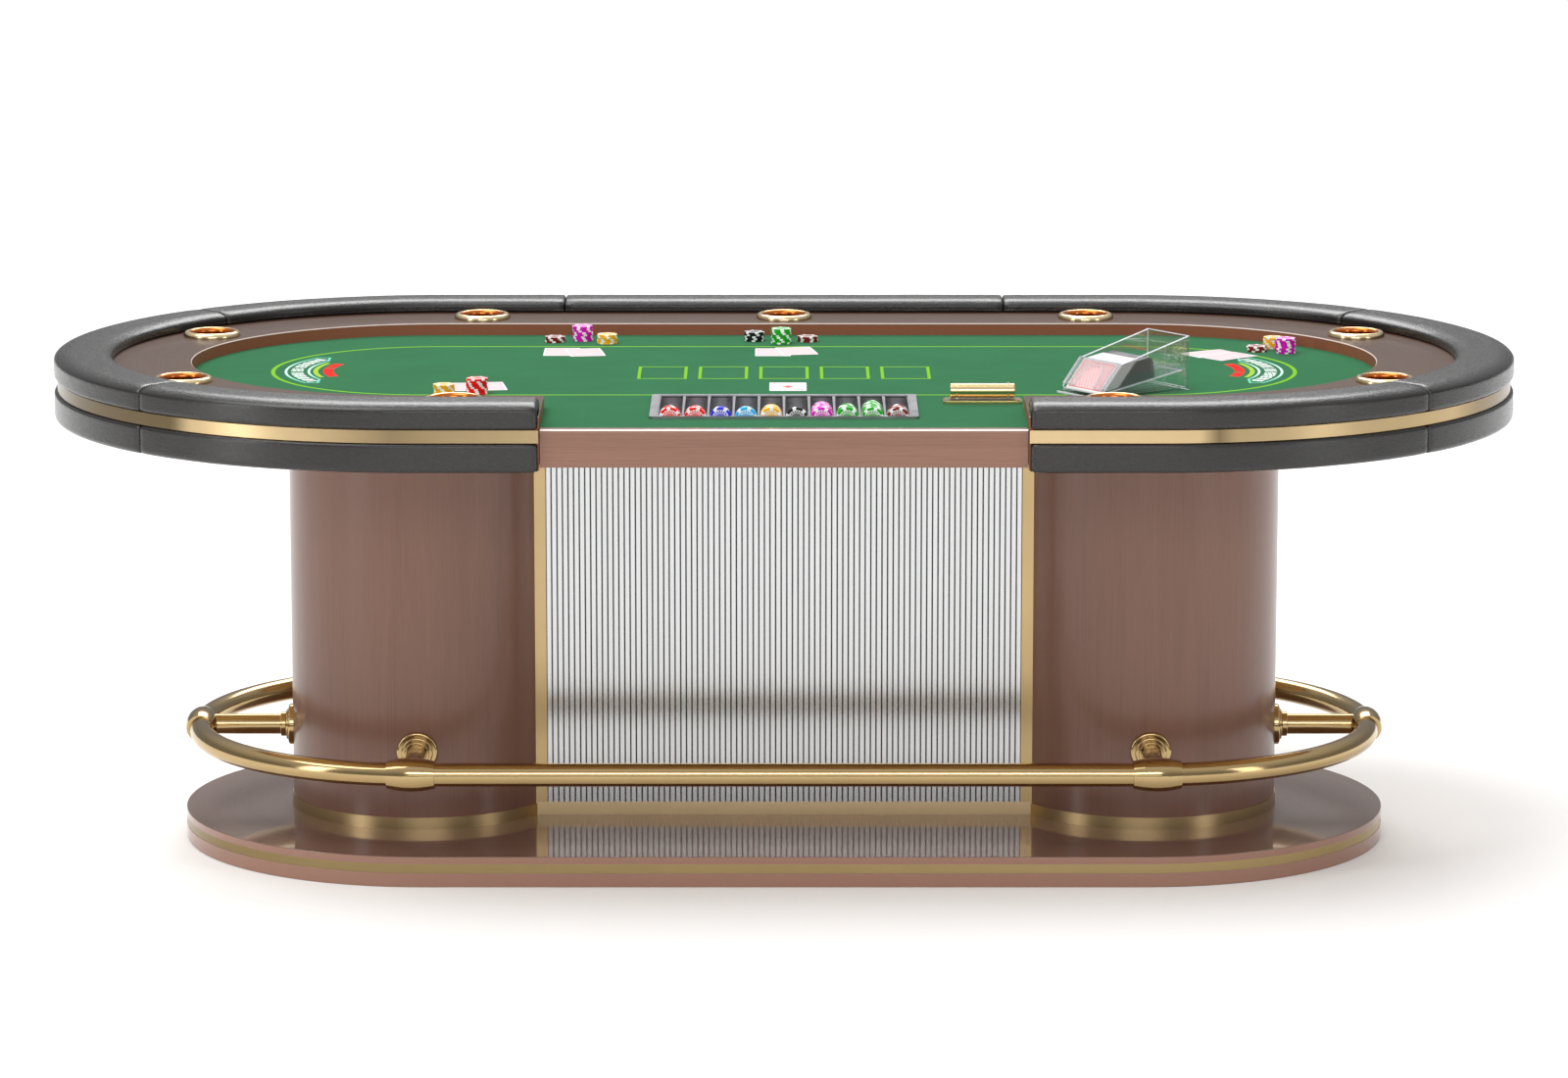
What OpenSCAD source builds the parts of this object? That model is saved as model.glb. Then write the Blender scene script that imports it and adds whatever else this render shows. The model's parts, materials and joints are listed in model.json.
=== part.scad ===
// Blackjack table with a padded armrest, a drum-and-panel pedestal base and a foot rail.
// Millimetres, +Z up, origin on the floor below the middle of the table. Players sit on the
// +Y side and at both ends, and the dealer stands on the -Y side.

/* [Table top] */
// Overall length of the table over the armrests
table_length = 2600; // [2400:10:2800]
// Half the straight length of the table's outline
half_straight = 630; // [600:5:660]
// Height of the felt above the floor
felt_z = 840; // [800:5:880]
// Radius of the playing surface at the ends
felt_r = 426; // [415:1:435]
// Height of the racetrack above the felt
racetrack_t = 22; // [18:1:26]
// Half width of the dealer's opening
opening_x = 412; // [380:2:440]

/* [Armrest] */
// Width of the padded armrest
armrest_w = 104; // [98:1:108]
// Height of the armrest above the racetrack
armrest_h = 24; // [22:1:30]
// Lowest point of the lower pad
skirt_z = 767; // [760:1:770]
// Height of the brass band between the pads
band_h = 22; // [16:1:26]

/* [Cup holders] */
// Radius of the cup's inside
cup_r = 37; // [34:0.5:38]
// Depth of the cup below its flange
cup_depth = 56; // [45:1:60]
// Radius of the cup's flange
cup_flange_r = 52; // [50:0.5:54]

/* [Base] */
// Plinth's radius at the ends
plinth_r = 449; // [430:1:470]
// Pedestal drum's radius
drum_r = 238; // [225:1:245]
// Pedestal drum's distance from the middle
drum_x = 648; // [640:1:656]
// Distance of the fluted panels from the middle
panel_y = 120; // [110:1:130]
// Number of reeds across one panel
reed_count = 85; // [60:1:90]

/* [Foot rail] */
// Height of the foot rail's middle
rail_z = 194; // [180:1:210]
// Foot rail's radius at the ends
rail_r = 421; // [410:1:430]
// Outer radius of the foot rail tube
tube_r = 20.5; // [18:0.5:22]

/* [Chips and cards] */
// Radius of a chip
chip_r = 18.6; // [18:0.1:19]
// Thickness of a chip
chip_t = 3.5; // [3.2:0.1:3.6]
// Width of a card
card_w = 65; // [60:1:66]
// Length of a card
card_l = 93; // [88:1:98]

/* [Hidden] */
$fn = 96;
// play between parts that slide past each other
play = 1.5;
// play between metal parts that are pushed together
close_fit = 0.1;
// heights of the bodies that cut openings through the boards
cut_h = 60;
slot_cut_h = 160;

// boards, from the floor up
lower_board_t = 25;
inlay_t = 16;
upper_board_t = 13;
plinth_t = lower_board_t + inlay_t + upper_board_t;
inlay_depth = 4;
board_t = 18;
felt_t = 3;
frame_t = 24;
playing_z = felt_z - felt_t - board_t;
frame_z = playing_z - frame_t;
bed_z = frame_z - board_t;
racetrack_z = felt_z + racetrack_t;

// outline radii at the ends of the table
outer_r = table_length / 2 - half_straight;
pad_t = 16;
apron_t = 20;
band_t = 10;
band_wall = 2;
band_r = outer_r - pad_t;
board_r = band_r - apron_t;
core_w = 44;
core_h = 12;
frame_w = 44;
armrest_r = outer_r - armrest_w;
armrest_z = racetrack_z + armrest_h;
// the band lies just below felt level
band_z = felt_z - band_h;
pad_gap = 1;
pad_crown_r = 11;
pad_end_x = opening_x + 2;
apron_z = skirt_z + 3;

// cup holders: three along the back, two at each end, two beside the dealer
cup_ring_r = 497;
cup_angle = 33;
cup_x = 563;
cup_wall = 1.5;
cup_play = 0.4;
// the flange is a half-round bead that stands a little proud of the board
bead_r = 7.5;
bead_z = 2.2;
CUPS = concat(
  [for (x = [-cup_x, 0, cup_x]) [x, cup_ring_r]],
  [for (x = [-cup_x, cup_x]) [x, -cup_ring_r]],
  [for (sx = [-1, 1], sy = [-1, 1])
    [sx * (half_straight + cup_ring_r * cos(cup_angle)), sy * cup_ring_r * sin(cup_angle)]]);

// bolts that hold the armrest, set along the middle of its core
bolt_r = 4;
bolt_play = 0.3;
small_head_r = 7;
big_head_r = 9;
head_h = 7;
bolt_in_core = 10;
bolt_ring_r = board_r - core_w / 2;
back_bolt_x = 280;
front_bolt_x = 470;
end_bolt_angles = [-80, -45, 0, 45, 80];
ARMREST_BOLTS = concat(
  [for (x = [-back_bolt_x, 0, back_bolt_x]) [x, bolt_ring_r]],
  [for (sx = [-1, 1]) [sx * front_bolt_x, -bolt_ring_r]],
  [for (sx = [-1, 1], a = end_bolt_angles)
    [sx * (half_straight + bolt_ring_r * cos(a)), bolt_ring_r * sin(a)]]);

// base
shell_t = 18;
drum_ring_h = 21;
panel_t = 4;
strip_w = 20;
strip_t = 5.5;
base_strip_h = 23;
panel_x = 423;
groove_d = 2.2;
groove_w = 2;
reed_ease = 0.5;
reed_pitch = 2 * panel_x / reed_count;
rib_x = 280;
joist_x = [-470, -250, 250, 470];
former_hole_r = 60;
drum_bolt_r = 5;
drum_bolt_in = 12;
drum_bolt_ring_r = 150;
BOLT_PATTERN = [for (a = [45:90:315]) drum_bolt_ring_r * [cos(a), sin(a)]];

// foot rail
tube_wall = 2;
// angle left free between the bends and the straight tubes
bend_gap_a = 0.1;
sleeve_l = 84;
sleeve_end_r = 24;
sleeve_mid_r = 29.5;
post_r = 18.2;
collar_r = 22;
flange_r = 36.5;
flange_step_r = 28;
flange_step = 4;
flange_t = 12;
collar_t = 10;
post_bolt_r = 5;
post_bolt_in = 55;
post_bore = 60;
// the six brackets: [place on the rail, direction towards the drum]
BRACKETS = concat(
  [for (sx = [-1, 1], sy = [-1, 1]) [sx * drum_x, sy * drum_gap_y(), sy > 0 ? 270 : 90]],
  [for (sx = [-1, 1]) [sx * (half_straight + rail_r), 0, sx > 0 ? 180 : 0]]);
// distance of the rail's middle from the table's long axis, beside a drum
function drum_gap_y() = sqrt(pow(rail_r, 2) - pow(drum_x - half_straight, 2));

// chip tray
tray_w = 458;
tray_l = 242;
tray_y = -425.5;
tray_rim_t = 5;
tray_rim_side = 13.6;
tray_body_h = 33;
tray_wall = 2;
trough_count = 10;
trough_r = 19.7;
trough_l = 217;
trough_tilt = 2;
trough_shift = 2.5;
// step in the rim around the troughs
trough_step = 1.5;
trough_pitch = (tray_w - 2 * tray_rim_side) / trough_count;
trough_axis_z = felt_z + 5;
TRAY_ROWS = [6, 6, 4, 4, 9, 2, 16, 11, 19, 9];

// drop slot beside the tray
slot_x = 342.5;
slot_y = -367;
slot_plate = [136, 41, 6.5];
slot_hole = [112, 11];
// how far the cuts in the boards and in the carcass stand clear of the hole, each way
board_cut = [4, 7];
frame_cut = [2, 4];
slot_wall = 2;
slot_step = 3;
slot_depth = 29;
blade = [104, 4, 70];
handle_r = 12.4;
handle_l = 111.5;
handle_ring_r = 14.4;
ring_w = 2.8;
ring_in = 1.5;
blade_in = 5;
handle_z = felt_z + slot_plate[2] + handle_ring_r + 0.3;
ring_inset = 11.5;

// card shoe, in its own frame: x from its mouth, y from its middle, z from the felt;
// shoe_corner is where its near rear corner stands
shoe_turn = 36.8;
shoe_corner = [709, -226];
shoe_l = 207;
shoe_w = 113;
shoe_h = 96;
acrylic_t = 4.5;
shoe_knee = [53, 59];
shoe_nose = [12, 13];
ramp_slope = 8.4;
ramp_t = 3;
ramp_start = [10.8, 10];
ramp_l = 186;
face_angle = 48;
face_l = 64.5;
stack_t = 41;
face_plate_t = 3;
thumb_r = 25;
thumb_z = 24.5;
exit_gap = 4;
slide_gap = 0.3;
wedge_l = 81;
wedge_h = 38;
wedge_round = 8;

// air between two chips, and between two cards that overlap
chip_gap = 0.1;
card_t = 0.35;
card_gap = 0.05;
// chips and cards that lie on the felt: [x, y, chips in the stack]
FELT_CHIPS = [
  [-421.5, 342, 3], [-371, 358, 8], [-325.5, 324, 5],
  [-54, 356, 5], [-5, 324, 8], [43, 348, 3],
  [862, 225, 3], [896, 266, 6], [912.5, 206, 8],
  [-592, -269, 5], [-535, -268, 8]];
// [x, y, turn, level]
FELT_CARDS = [
  [-405, 216, 0, 0], [-362, 208, 8.5, 1],
  [-20, 212, 0, 0], [23, 225, 10, 1],
  [775, 195, -58, 0], [804, 160, -50, 1],
  [-566, -195, 0, 0], [-522, -190, 8.5, 1],
  [7, -192, 0, 0]];

// ---- shapes that repeat ----

// Rectangle from [x0, y0] to [x1, y1] whose corners have radii r: bottom left, bottom right,
// top right, top left
module soft_rect(x0, y0, x1, y1, r) {
  polygon([[x0 + r[0], y0], [x1 - r[1], y0], [x1, y0 + r[1]], [x1, y1 - r[2]],
    [x1 - r[2], y1], [x0 + r[3], y1], [x0, y1 - r[3]], [x0, y0 + r[0]]]);
  if (r[0] > 0) translate([x0 + r[0], y0 + r[0]]) circle(r[0]);
  if (r[1] > 0) translate([x1 - r[1], y0 + r[1]]) circle(r[1]);
  if (r[2] > 0) translate([x1 - r[2], y1 - r[2]]) circle(r[2]);
  if (r[3] > 0) translate([x0 + r[3], y1 - r[3]]) circle(r[3]);
}

// Outline of the table's shape, two half circles joined by straight sides
module stadium(r, a = half_straight) {
  square([2 * a, 2 * r], center = true);
  for (x = [-a, a]) translate([x, 0]) circle(r);
}

// A board of the table's shape
module stadium_board(r, z, t) {
  translate([0, 0, z]) linear_extrude(t) stadium(r);
}

// Sweeps a section along a straight side, on the back (side = 1) or the front (side = -1)
module side_run(x0, x1, side = 1) {
  mirror([0, side > 0 ? 0 : 1, 0])
    translate([x0, 0, 0]) rotate([90, 0, 90]) linear_extrude(x1 - x0) children();
}

// Sweeps a section round an end, from angle a0 by a turn of da degrees
module end_run(side, a0, da) {
  translate([side * half_straight, 0, 0]) rotate([0, 0, a0])
    rotate_extrude(angle = da) children();
}

// Sweeps a section right round the table
module full_run() {
  side_run(-half_straight, half_straight) children();
  side_run(-half_straight, half_straight, -1) children();
  end_run(-1, 90, 180) children();
  end_run(1, -90, 180) children();
}

// Sweeps a section round the table and stops at the dealer's opening
module open_run(x) {
  side_run(-half_straight, half_straight) children();
  for (s = [-1, 1])
    side_run(s < 0 ? -half_straight : x, s < 0 ? -x : half_straight, -1) children();
  end_run(-1, 90, 180) children();
  end_run(1, -90, 180) children();
}

// Plain rectangular section
module section(r0, r1, z0, z1) {
  translate([r0, z0]) square([r1 - r0, z1 - z0]);
}

// Both pedestal drums, as a tool that scribes neighbouring parts to them
module drums(r = drum_r, h = bed_z) {
  for (x = [-drum_x, drum_x]) translate([x, 0, 0]) cylinder(r = r, h = h);
}

module at_cups() { for (p = CUPS) translate([p[0], p[1], 0]) children(); }
module at_bolts() { for (p = ARMREST_BOLTS) translate([p[0], p[1], 0]) children(); }

// ---- base ----

module plinth_lower_board() color("#96705c")
  full_run() soft_rect(0, 0, plinth_r, lower_board_t, [0, 1.5, 0, 0]);

module plinth_core_board() color("#c8ab82")
  stadium_board(plinth_r - inlay_depth, lower_board_t, inlay_t);

module plinth_brass_band() color("#a8905c")
  full_run() section(plinth_r - inlay_depth, plinth_r - 0.5, lower_board_t,
    lower_board_t + inlay_t);

module plinth_upper_board() color("#96705c")
  full_run() soft_rect(0, lower_board_t + inlay_t, plinth_r, plinth_t, [0, 0, 1.5, 0]);

module pedestal_shell(side) color("#80604f")
  difference() {
    translate([side * drum_x, 0, plinth_t]) cylinder(r = drum_r, h = bed_z - plinth_t);
    translate([side * drum_x, 0, plinth_t - 1]) cylinder(r = drum_r - shell_t, h = bed_z);
    post_holes();
  }

module left_pedestal_shell() pedestal_shell(-1);
module right_pedestal_shell() pedestal_shell(1);

// Brass rings round the feet of the drums, cut away where the panels join
module pedestal_base_rings() color("#b89a68")
  difference() {
    for (x = [-drum_x, drum_x]) translate([x, 0, plinth_t]) difference() {
      cylinder(r = drum_r + 2, h = drum_ring_h);
      translate([0, 0, -1]) cylinder(r = drum_r, h = drum_ring_h + 2);
    }
    translate([0, 0, plinth_t + drum_ring_h])
      cube([2 * drum_x, 2 * (panel_y + 2), 3 * drum_ring_h], center = true);
  }

// Plywood discs that keep the drums round, at the foot and at the head
module pedestal_formers() color("#c8ab82")
  for (x = [-drum_x, drum_x], z = [plinth_t, bed_z - board_t]) translate([x, 0, z])
    difference() {
      cylinder(r = drum_r - shell_t, h = board_t);
      translate([0, 0, -1]) cylinder(r = former_hole_r, h = board_t + 2);
      for (p = BOLT_PATTERN)
        translate([p[0], p[1], -1]) cylinder(r = drum_bolt_r, h = board_t + 2);
    }

// Bolts through the top formers into the bed board
module pedestal_bolts() color("#8c8c90")
  for (x = [-drum_x, drum_x], p = BOLT_PATTERN)
    translate([x + p[0], p[1], bed_z - board_t]) {
      cylinder(r = drum_bolt_r, h = board_t + drum_bolt_in);
      translate([0, 0, -head_h]) cylinder(r = big_head_r, h = head_h, $fn = 6);
    }

module carcass_board(side) color("#c8ab82")
  difference() {
    translate([-drum_x, side * (panel_y - panel_t) - (side > 0 ? board_t : 0), plinth_t])
      cube([2 * drum_x, board_t, bed_z - plinth_t]);
    drums(h = 2 * bed_z);
  }

module front_carcass_board() carcass_board(-1);
module rear_carcass_board() carcass_board(1);

// Upright boards that tie the two carcass boards together
module carcass_ribs() color("#c8ab82")
  for (x = [-rib_x, 0, rib_x])
    translate([x - board_t / 2, -panel_y + panel_t + board_t, plinth_t])
      cube([board_t, 2 * (panel_y - panel_t - board_t), bed_z - plinth_t]);

// Metal panel of flat upright reeds with eased edges and a narrow groove between each two
module reeded_panel(side) color("#c9cbce")
  mirror([0, side > 0 ? 0 : 1, 0]) translate([0, 0, plinth_t + base_strip_h])
    linear_extrude(bed_z - plinth_t - base_strip_h) {
      translate([-panel_x, panel_y - panel_t]) square([2 * panel_x, panel_t - groove_d]);
      for (i = [0:reed_count - 1])
        translate([i * reed_pitch - panel_x, panel_y - groove_d]) reed();
    }

// Section of one reed, standing on the panel's web
module reed() polygon([[groove_w / 2, -0.2], [reed_pitch - groove_w / 2, -0.2],
  [reed_pitch - groove_w / 2, groove_d - reed_ease],
  [reed_pitch - groove_w / 2 - reed_ease, groove_d], [groove_w / 2 + reed_ease, groove_d],
  [groove_w / 2, groove_d - reed_ease]]);

module front_reeded_panel() reeded_panel(-1);
module rear_reeded_panel() reeded_panel(1);

// Brass strips beside the panels, scribed to the drums
module panel_side_strips() color("#c9ab74")
  for (sy = [-1, 1]) difference() {
    for (sx = [-1, 1])
      translate([sx > 0 ? panel_x : -panel_x - 2 * strip_w,
        sy > 0 ? panel_y - panel_t : -panel_y + panel_t - strip_t, plinth_t + base_strip_h])
        cube([2 * strip_w, strip_t, bed_z - plinth_t - base_strip_h]);
    drums(h = 2 * bed_z);
  }

module panel_base_strips() color("#b89a68")
  for (sy = [-1, 1]) difference() {
    translate([-drum_x, sy > 0 ? panel_y - panel_t : -panel_y + panel_t - strip_t, plinth_t])
      cube([2 * drum_x, strip_t, base_strip_h]);
    drums(h = 2 * bed_z);
  }

// ---- foot rail ----

module tube_section(r0, r1) {
  translate([rail_r, rail_z]) difference() {
    circle(r1);
    if (r0 > 0) circle(r0);
  }
}

module rail_tube(side) color("#a68a54")
  side_run(-half_straight, half_straight, side) tube_section(tube_r - tube_wall, tube_r);

module front_rail_tube() rail_tube(-1);
module rear_rail_tube() rail_tube(1);

// A quarter bend, a little short of the next one
module rail_bend(side, a0) color("#a68a54")
  end_run(side, a0 + bend_gap_a / 2, 90 - bend_gap_a) tube_section(tube_r - tube_wall, tube_r);

module front_left_rail_bend() rail_bend(-1, 180);
module rear_left_rail_bend() rail_bend(-1, 90);
module front_right_rail_bend() rail_bend(1, 270);
module rear_right_rail_bend() rail_bend(1, 0);

// The whole rail as a solid bar, a tool that bores the sleeves
module rail_bar(r) full_run() tube_section(0, r);

// Distance from the rail's middle to a drum, at the side brackets and at the end ones
side_reach = drum_gap_y() - drum_r;
end_reach = half_straight + rail_r - drum_x - drum_r;
function reach(b) = b[1] == 0 ? end_reach : side_reach;

// Barrel-shaped sleeve round the rail, before it is bored
module sleeve_barrel() {
  rotate([90, 0, 0]) rotate_extrude() intersection() {
    translate([0, -sleeve_l / 2]) square([sleeve_mid_r, sleeve_l]);
    translate([sleeve_mid_r - barrel_arc_r(), 0]) circle(barrel_arc_r(), $fn = 256);
  }
}
// radius of the arc through the sleeve's two ends and its middle
function barrel_arc_r() =
  (pow(sleeve_l / 2, 2) + pow(sleeve_mid_r - sleeve_end_r, 2))
  / (2 * (sleeve_mid_r - sleeve_end_r));

// turn of a side sleeve, so that it follows the rail where the bend starts
sleeve_turn = asin((drum_x - half_straight) / rail_r);
function turn(b) = b[1] == 0 ? 0 : -sign(b[0] * b[1]) * sleeve_turn;

module place_sleeve(b) {
  translate([b[0], b[1], rail_z]) rotate([0, 0, b[2] + turn(b)]) sleeve_barrel();
}

module rail_sleeves() color("#a68a54")
  difference() {
    for (b = BRACKETS) place_sleeve(b);
    rail_bar(tube_r + close_fit);
  }

module rail_posts() color("#a68a54")
  for (b = BRACKETS) difference() {
    translate([b[0], b[1], rail_z]) rotate([0, 0, b[2]]) rotate([0, 90, 0])
      cylinder(r = post_r, h = reach(b) - flange_t);
    place_sleeve(b);
    rail_bar(tube_r + close_fit);
    translate([b[0], b[1], rail_z]) rotate([0, 0, b[2]]) rotate([0, 90, 0])
      translate([0, 0, reach(b) - post_bore]) cylinder(r = post_bolt_r, h = post_bore);
  }

module rail_collars() color("#a68a54")
  for (b = BRACKETS)
    translate([b[0], b[1], rail_z]) rotate([0, 0, b[2]]) rotate([0, 90, 0])
      translate([0, 0, reach(b) - flange_t - collar_t]) rotate_extrude()
        soft_rect(post_r + close_fit, 0, collar_r, collar_t, [0, 1.5, 1.5, 0]);

// Round wall flanges, scribed to the drums
module rail_flanges() color("#a68a54")
  difference() {
    for (b = BRACKETS)
      translate([b[0], b[1], rail_z]) rotate([0, 0, b[2]]) rotate([0, 90, 0])
        translate([0, 0, reach(b) - flange_t]) rotate_extrude() union() {
          soft_rect(post_bolt_r + bolt_play, 0, flange_step_r, 2 * flange_t, [0, 3, 0, 0]);
          soft_rect(post_bolt_r + bolt_play, flange_step, flange_r, 2 * flange_t, [0, 4, 0, 0]);
        }
    drums();
  }

// Bolts from inside the drums, through the shell and the flange into the post
module post_bolts() color("#8c8c90")
  for (b = BRACKETS)
    translate([b[0], b[1], rail_z]) rotate([0, 0, b[2]]) rotate([0, 90, 0])
      translate([0, 0, reach(b) - post_bolt_in]) {
        cylinder(r = post_bolt_r, h = post_bolt_in + shell_t + 4);
        translate([0, 0, post_bolt_in + shell_t + bolt_play])
          cylinder(r = big_head_r, h = head_h, $fn = 6);
      }

module post_holes() {
  for (b = BRACKETS)
    translate([b[0], b[1], rail_z]) rotate([0, 0, b[2]]) rotate([0, 90, 0])
      translate([0, 0, reach(b) - 1]) cylinder(r = post_bolt_r + bolt_play, h = 2 * shell_t);
}

// ---- table top ----

module bed_board() color("#c8ab82")
  difference() {
    stadium_board(board_r, bed_z, board_t);
    for (x = [-drum_x, drum_x], p = BOLT_PATTERN)
      translate([x + p[0], p[1], bed_z - 1]) cylinder(r = drum_bolt_r, h = drum_bolt_in + 1);
    slot_opening(slot_hole[0] + 2 * frame_cut[0], slot_hole[1] + 2 * frame_cut[1]);
  }

// Rim and joists between the bed and the playing board
module deck_frame() color("#c8ab82")
  difference() {
    union() {
      full_run() section(board_r - frame_w, board_r, frame_z, playing_z);
      intersection() {
        for (x = joist_x)
          translate([x - board_t / 2, -board_r, frame_z]) cube([board_t, 2 * board_r, frame_t]);
        stadium_board(board_r - frame_w / 2, frame_z, frame_t);
      }
    }
    at_bolts() translate([0, 0, frame_z - 1]) cylinder(r = bolt_r + bolt_play, h = frame_t + 2);
    at_bolts() translate([0, 0, frame_z - 1]) cylinder(r = small_head_r + 2, h = 1 + head_h);
  }

module playing_board() color("#c8ab82")
  difference() {
    stadium_board(board_r, playing_z, board_t);
    top_openings(playing_z);
  }

// Foam and felt, with the openings for the tray, the slot and the cups
module felt_layout() color("#4a855f")
  difference() {
    stadium_board(board_r, felt_z - felt_t, felt_t);
    top_openings(felt_z - felt_t);
  }

module top_openings(z) {
  translate([0, tray_y, z])
    cube([tray_body_w + 2 * play, tray_body_l + 2 * play, cut_h], center = true);
  slot_opening(slot_hole[0] + 2 * board_cut[0], slot_hole[1] + 2 * board_cut[1]);
  at_cups() translate([0, 0, z - 1]) cylinder(r = cup_r + cup_wall + cup_play, h = cut_h);
  at_bolts() translate([0, 0, z - 1]) cylinder(r = bolt_r + bolt_play, h = cut_h);
}

module slot_opening(w, l) {
  translate([slot_x, slot_y, felt_z - cut_h]) cube([w, l, slot_cut_h], center = true);
}

module racetrack_board() color("#7c5f50")
  difference() {
    open_run(opening_x) soft_rect(felt_r, felt_z, board_r, racetrack_z, [0, 0, 0, 2]);
    at_cups() translate([0, 0, felt_z - 1]) cylinder(r = cup_r + cup_wall + cup_play, h = cut_h);
    at_bolts() translate([0, 0, felt_z - 1]) cylinder(r = bolt_r + bolt_play, h = cut_h);
  }

module rail_apron() color("#7c5f50")
  open_run(opening_x) section(board_r, band_r, apron_z, racetrack_z);

// The dealer's front board, with a rounded top edge
module dealer_fascia() color("#9f7662")
  side_run(-opening_x + 1.5, opening_x - 1.5, -1)
    soft_rect(board_r, bed_z - 2, band_r + 1, felt_z, [0, 1.5, 6, 0]);

// Brass channel, open towards the apron, that stands out almost as far as the pads
module rail_brass_band() color("#c9ab74")
  open_run(opening_x + 0.5) difference() {
    section(band_r, band_r + band_t, band_z, band_z + band_h);
    section(band_r - 1, band_r + band_t - band_wall, band_z + band_wall,
      band_z + band_h - band_wall);
  }

module armrest_core() color("#c8ab82")
  difference() {
    open_run(pad_end_x + 2)
      section(board_r - core_w, board_r, racetrack_z, racetrack_z + core_h);
    at_bolts() translate([0, 0, racetrack_z - 1]) cylinder(r = bolt_r, h = bolt_in_core + 1);
  }

module armrest_bolts() color("#8c8c90")
  at_bolts() {
    translate([0, 0, frame_z + 2])
      cylinder(r = bolt_r, h = racetrack_z + bolt_in_core - frame_z - 2);
    translate([0, 0, frame_z]) cylinder(r = small_head_r, h = head_h, $fn = 6);
  }

// Section of the upper pad, which folds down over the apron's outer face
module upper_pad_section() difference() {
  union() {
    soft_rect(armrest_r, racetrack_z, outer_r, armrest_z, [2, 0, armrest_h / 2, pad_crown_r]);
    soft_rect(band_r, band_z + band_h + 0.5, outer_r, racetrack_z + 4, [1, 5, 0, 0]);
  }
  section(board_r - core_w, board_r, racetrack_z - 1, racetrack_z + core_h);
}

module lower_pad_section()
  soft_rect(band_r, skirt_z, outer_r, band_z - 0.5, [2, 8, 4, 1]);

module back_pad() side_run(-opening_x + pad_gap / 2, opening_x - pad_gap / 2) children();

// half the angle that a seam between two pads takes up
seam_a = asin(pad_gap / 2 / outer_r);

// The pad between the back seam and the end seam; side = -1 for the left one
module back_side_pad(side) mirror([side > 0 ? 1 : 0, 0, 0]) {
  side_run(-half_straight, -opening_x - pad_gap / 2) children();
  end_run(-1, 90, 45 - seam_a) children();
}

module end_pad(side) mirror([side > 0 ? 1 : 0, 0, 0])
  end_run(-1, 135 + seam_a, 90 - 2 * seam_a) children();

// The pad between the end seam and the dealer's opening; side = 1 for the right one
module front_side_pad(side) mirror([side > 0 ? 0 : 1, 0, 0]) {
  side_run(pad_end_x, half_straight, -1) children();
  end_run(1, -90, 45 - seam_a) children();
}

module upper_pad_back() color("#4c4a4a") back_pad() upper_pad_section();
module upper_pad_back_left() color("#4c4a4a") back_side_pad(-1) upper_pad_section();
module upper_pad_left_end() color("#4c4a4a") end_pad(-1) upper_pad_section();
module upper_pad_front_left() color("#4c4a4a") front_side_pad(-1) upper_pad_section();
module upper_pad_back_right() color("#4c4a4a") back_side_pad(1) upper_pad_section();
module upper_pad_right_end() color("#4c4a4a") end_pad(1) upper_pad_section();
module upper_pad_front_right() color("#4c4a4a") front_side_pad(1) upper_pad_section();

module lower_pads() color("#4c4a4a") {
  back_pad() lower_pad_section();
  for (side = [-1, 1]) {
    back_side_pad(side) lower_pad_section();
    end_pad(side) lower_pad_section();
    front_side_pad(side) lower_pad_section();
  }
}

// Drop-in cups with a half-round bead for a flange
module cup_holders() color("#cfa95c")
  at_cups() translate([0, 0, racetrack_z]) rotate_extrude() {
    difference() {
      translate([0, -cup_depth]) square([cup_r + cup_wall, cup_depth + bead_z]);
      translate([-1, -cup_depth + cup_wall]) square([cup_r + 1, cup_depth + 2 * bead_z]);
    }
    translate([cup_flange_r - bead_r, 0]) intersection() {
      translate([-bead_r, 0]) square([2 * bead_r, bead_z + bead_r]);
      union() {
        translate([0, bead_z]) circle(bead_r);
        translate([-bead_r, 0]) square([2 * bead_r, bead_z]);
      }
    }
  }

// ---- chip tray ----

// outer size of the tray's body below its rim
tray_body_w = tray_w - 2 * tray_rim_side + tray_wall;
tray_body_l = trough_l + 4 * tray_wall;
// the troughs lie a little nearer the dealer than the rim's middle
trough_y = tray_y - trough_shift;

module at_troughs() {
  for (i = [0:trough_count - 1])
    translate([(i - (trough_count - 1) / 2) * trough_pitch, trough_y, trough_axis_z])
      rotate([trough_tilt, 0, 0]) children();
}

module chip_tray() color("#6f7074")
  difference() {
    union() {
      translate([0, tray_y, felt_z]) linear_extrude(tray_rim_t)
        soft_rect(-tray_w / 2, -tray_l / 2, tray_w / 2, tray_l / 2, [6, 6, 6, 6]);
      translate([-tray_body_w / 2, tray_y - tray_body_l / 2, felt_z - tray_body_h])
        cube([tray_body_w, tray_body_l, tray_body_h + 1]);
    }
    translate([-tray_w / 2 + tray_rim_side, trough_y - trough_l / 2, felt_z + tray_rim_t - trough_step])
      cube([tray_w - 2 * tray_rim_side, trough_l, 2 * trough_step]);
    at_troughs() rotate([90, 0, 0]) {
      translate([0, 0, -trough_l / 2]) cylinder(r = trough_r, h = trough_l);
      translate([-trough_r, 0, -trough_l / 2]) cube([2 * trough_r, tray_body_h, trough_l]);
    }
  }

// A stack of separate chips
module chip_stack(n) {
  for (i = [0:n - 1]) translate([0, 0, i * chip_t]) cylinder(r = chip_r, h = chip_t - chip_gap);
}

module tray_chips() color("#c8322d")
  for (i = [0:trough_count - 1])
    translate([(i - (trough_count - 1) / 2) * trough_pitch, trough_y, trough_axis_z])
      rotate([trough_tilt, 0, 0])
        translate([0, -trough_l / 2 + chip_gap, -(trough_r - chip_r)]) rotate([-90, 0, 0])
          chip_stack(TRAY_ROWS[i]);

// ---- drop slot and paddle ----

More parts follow.
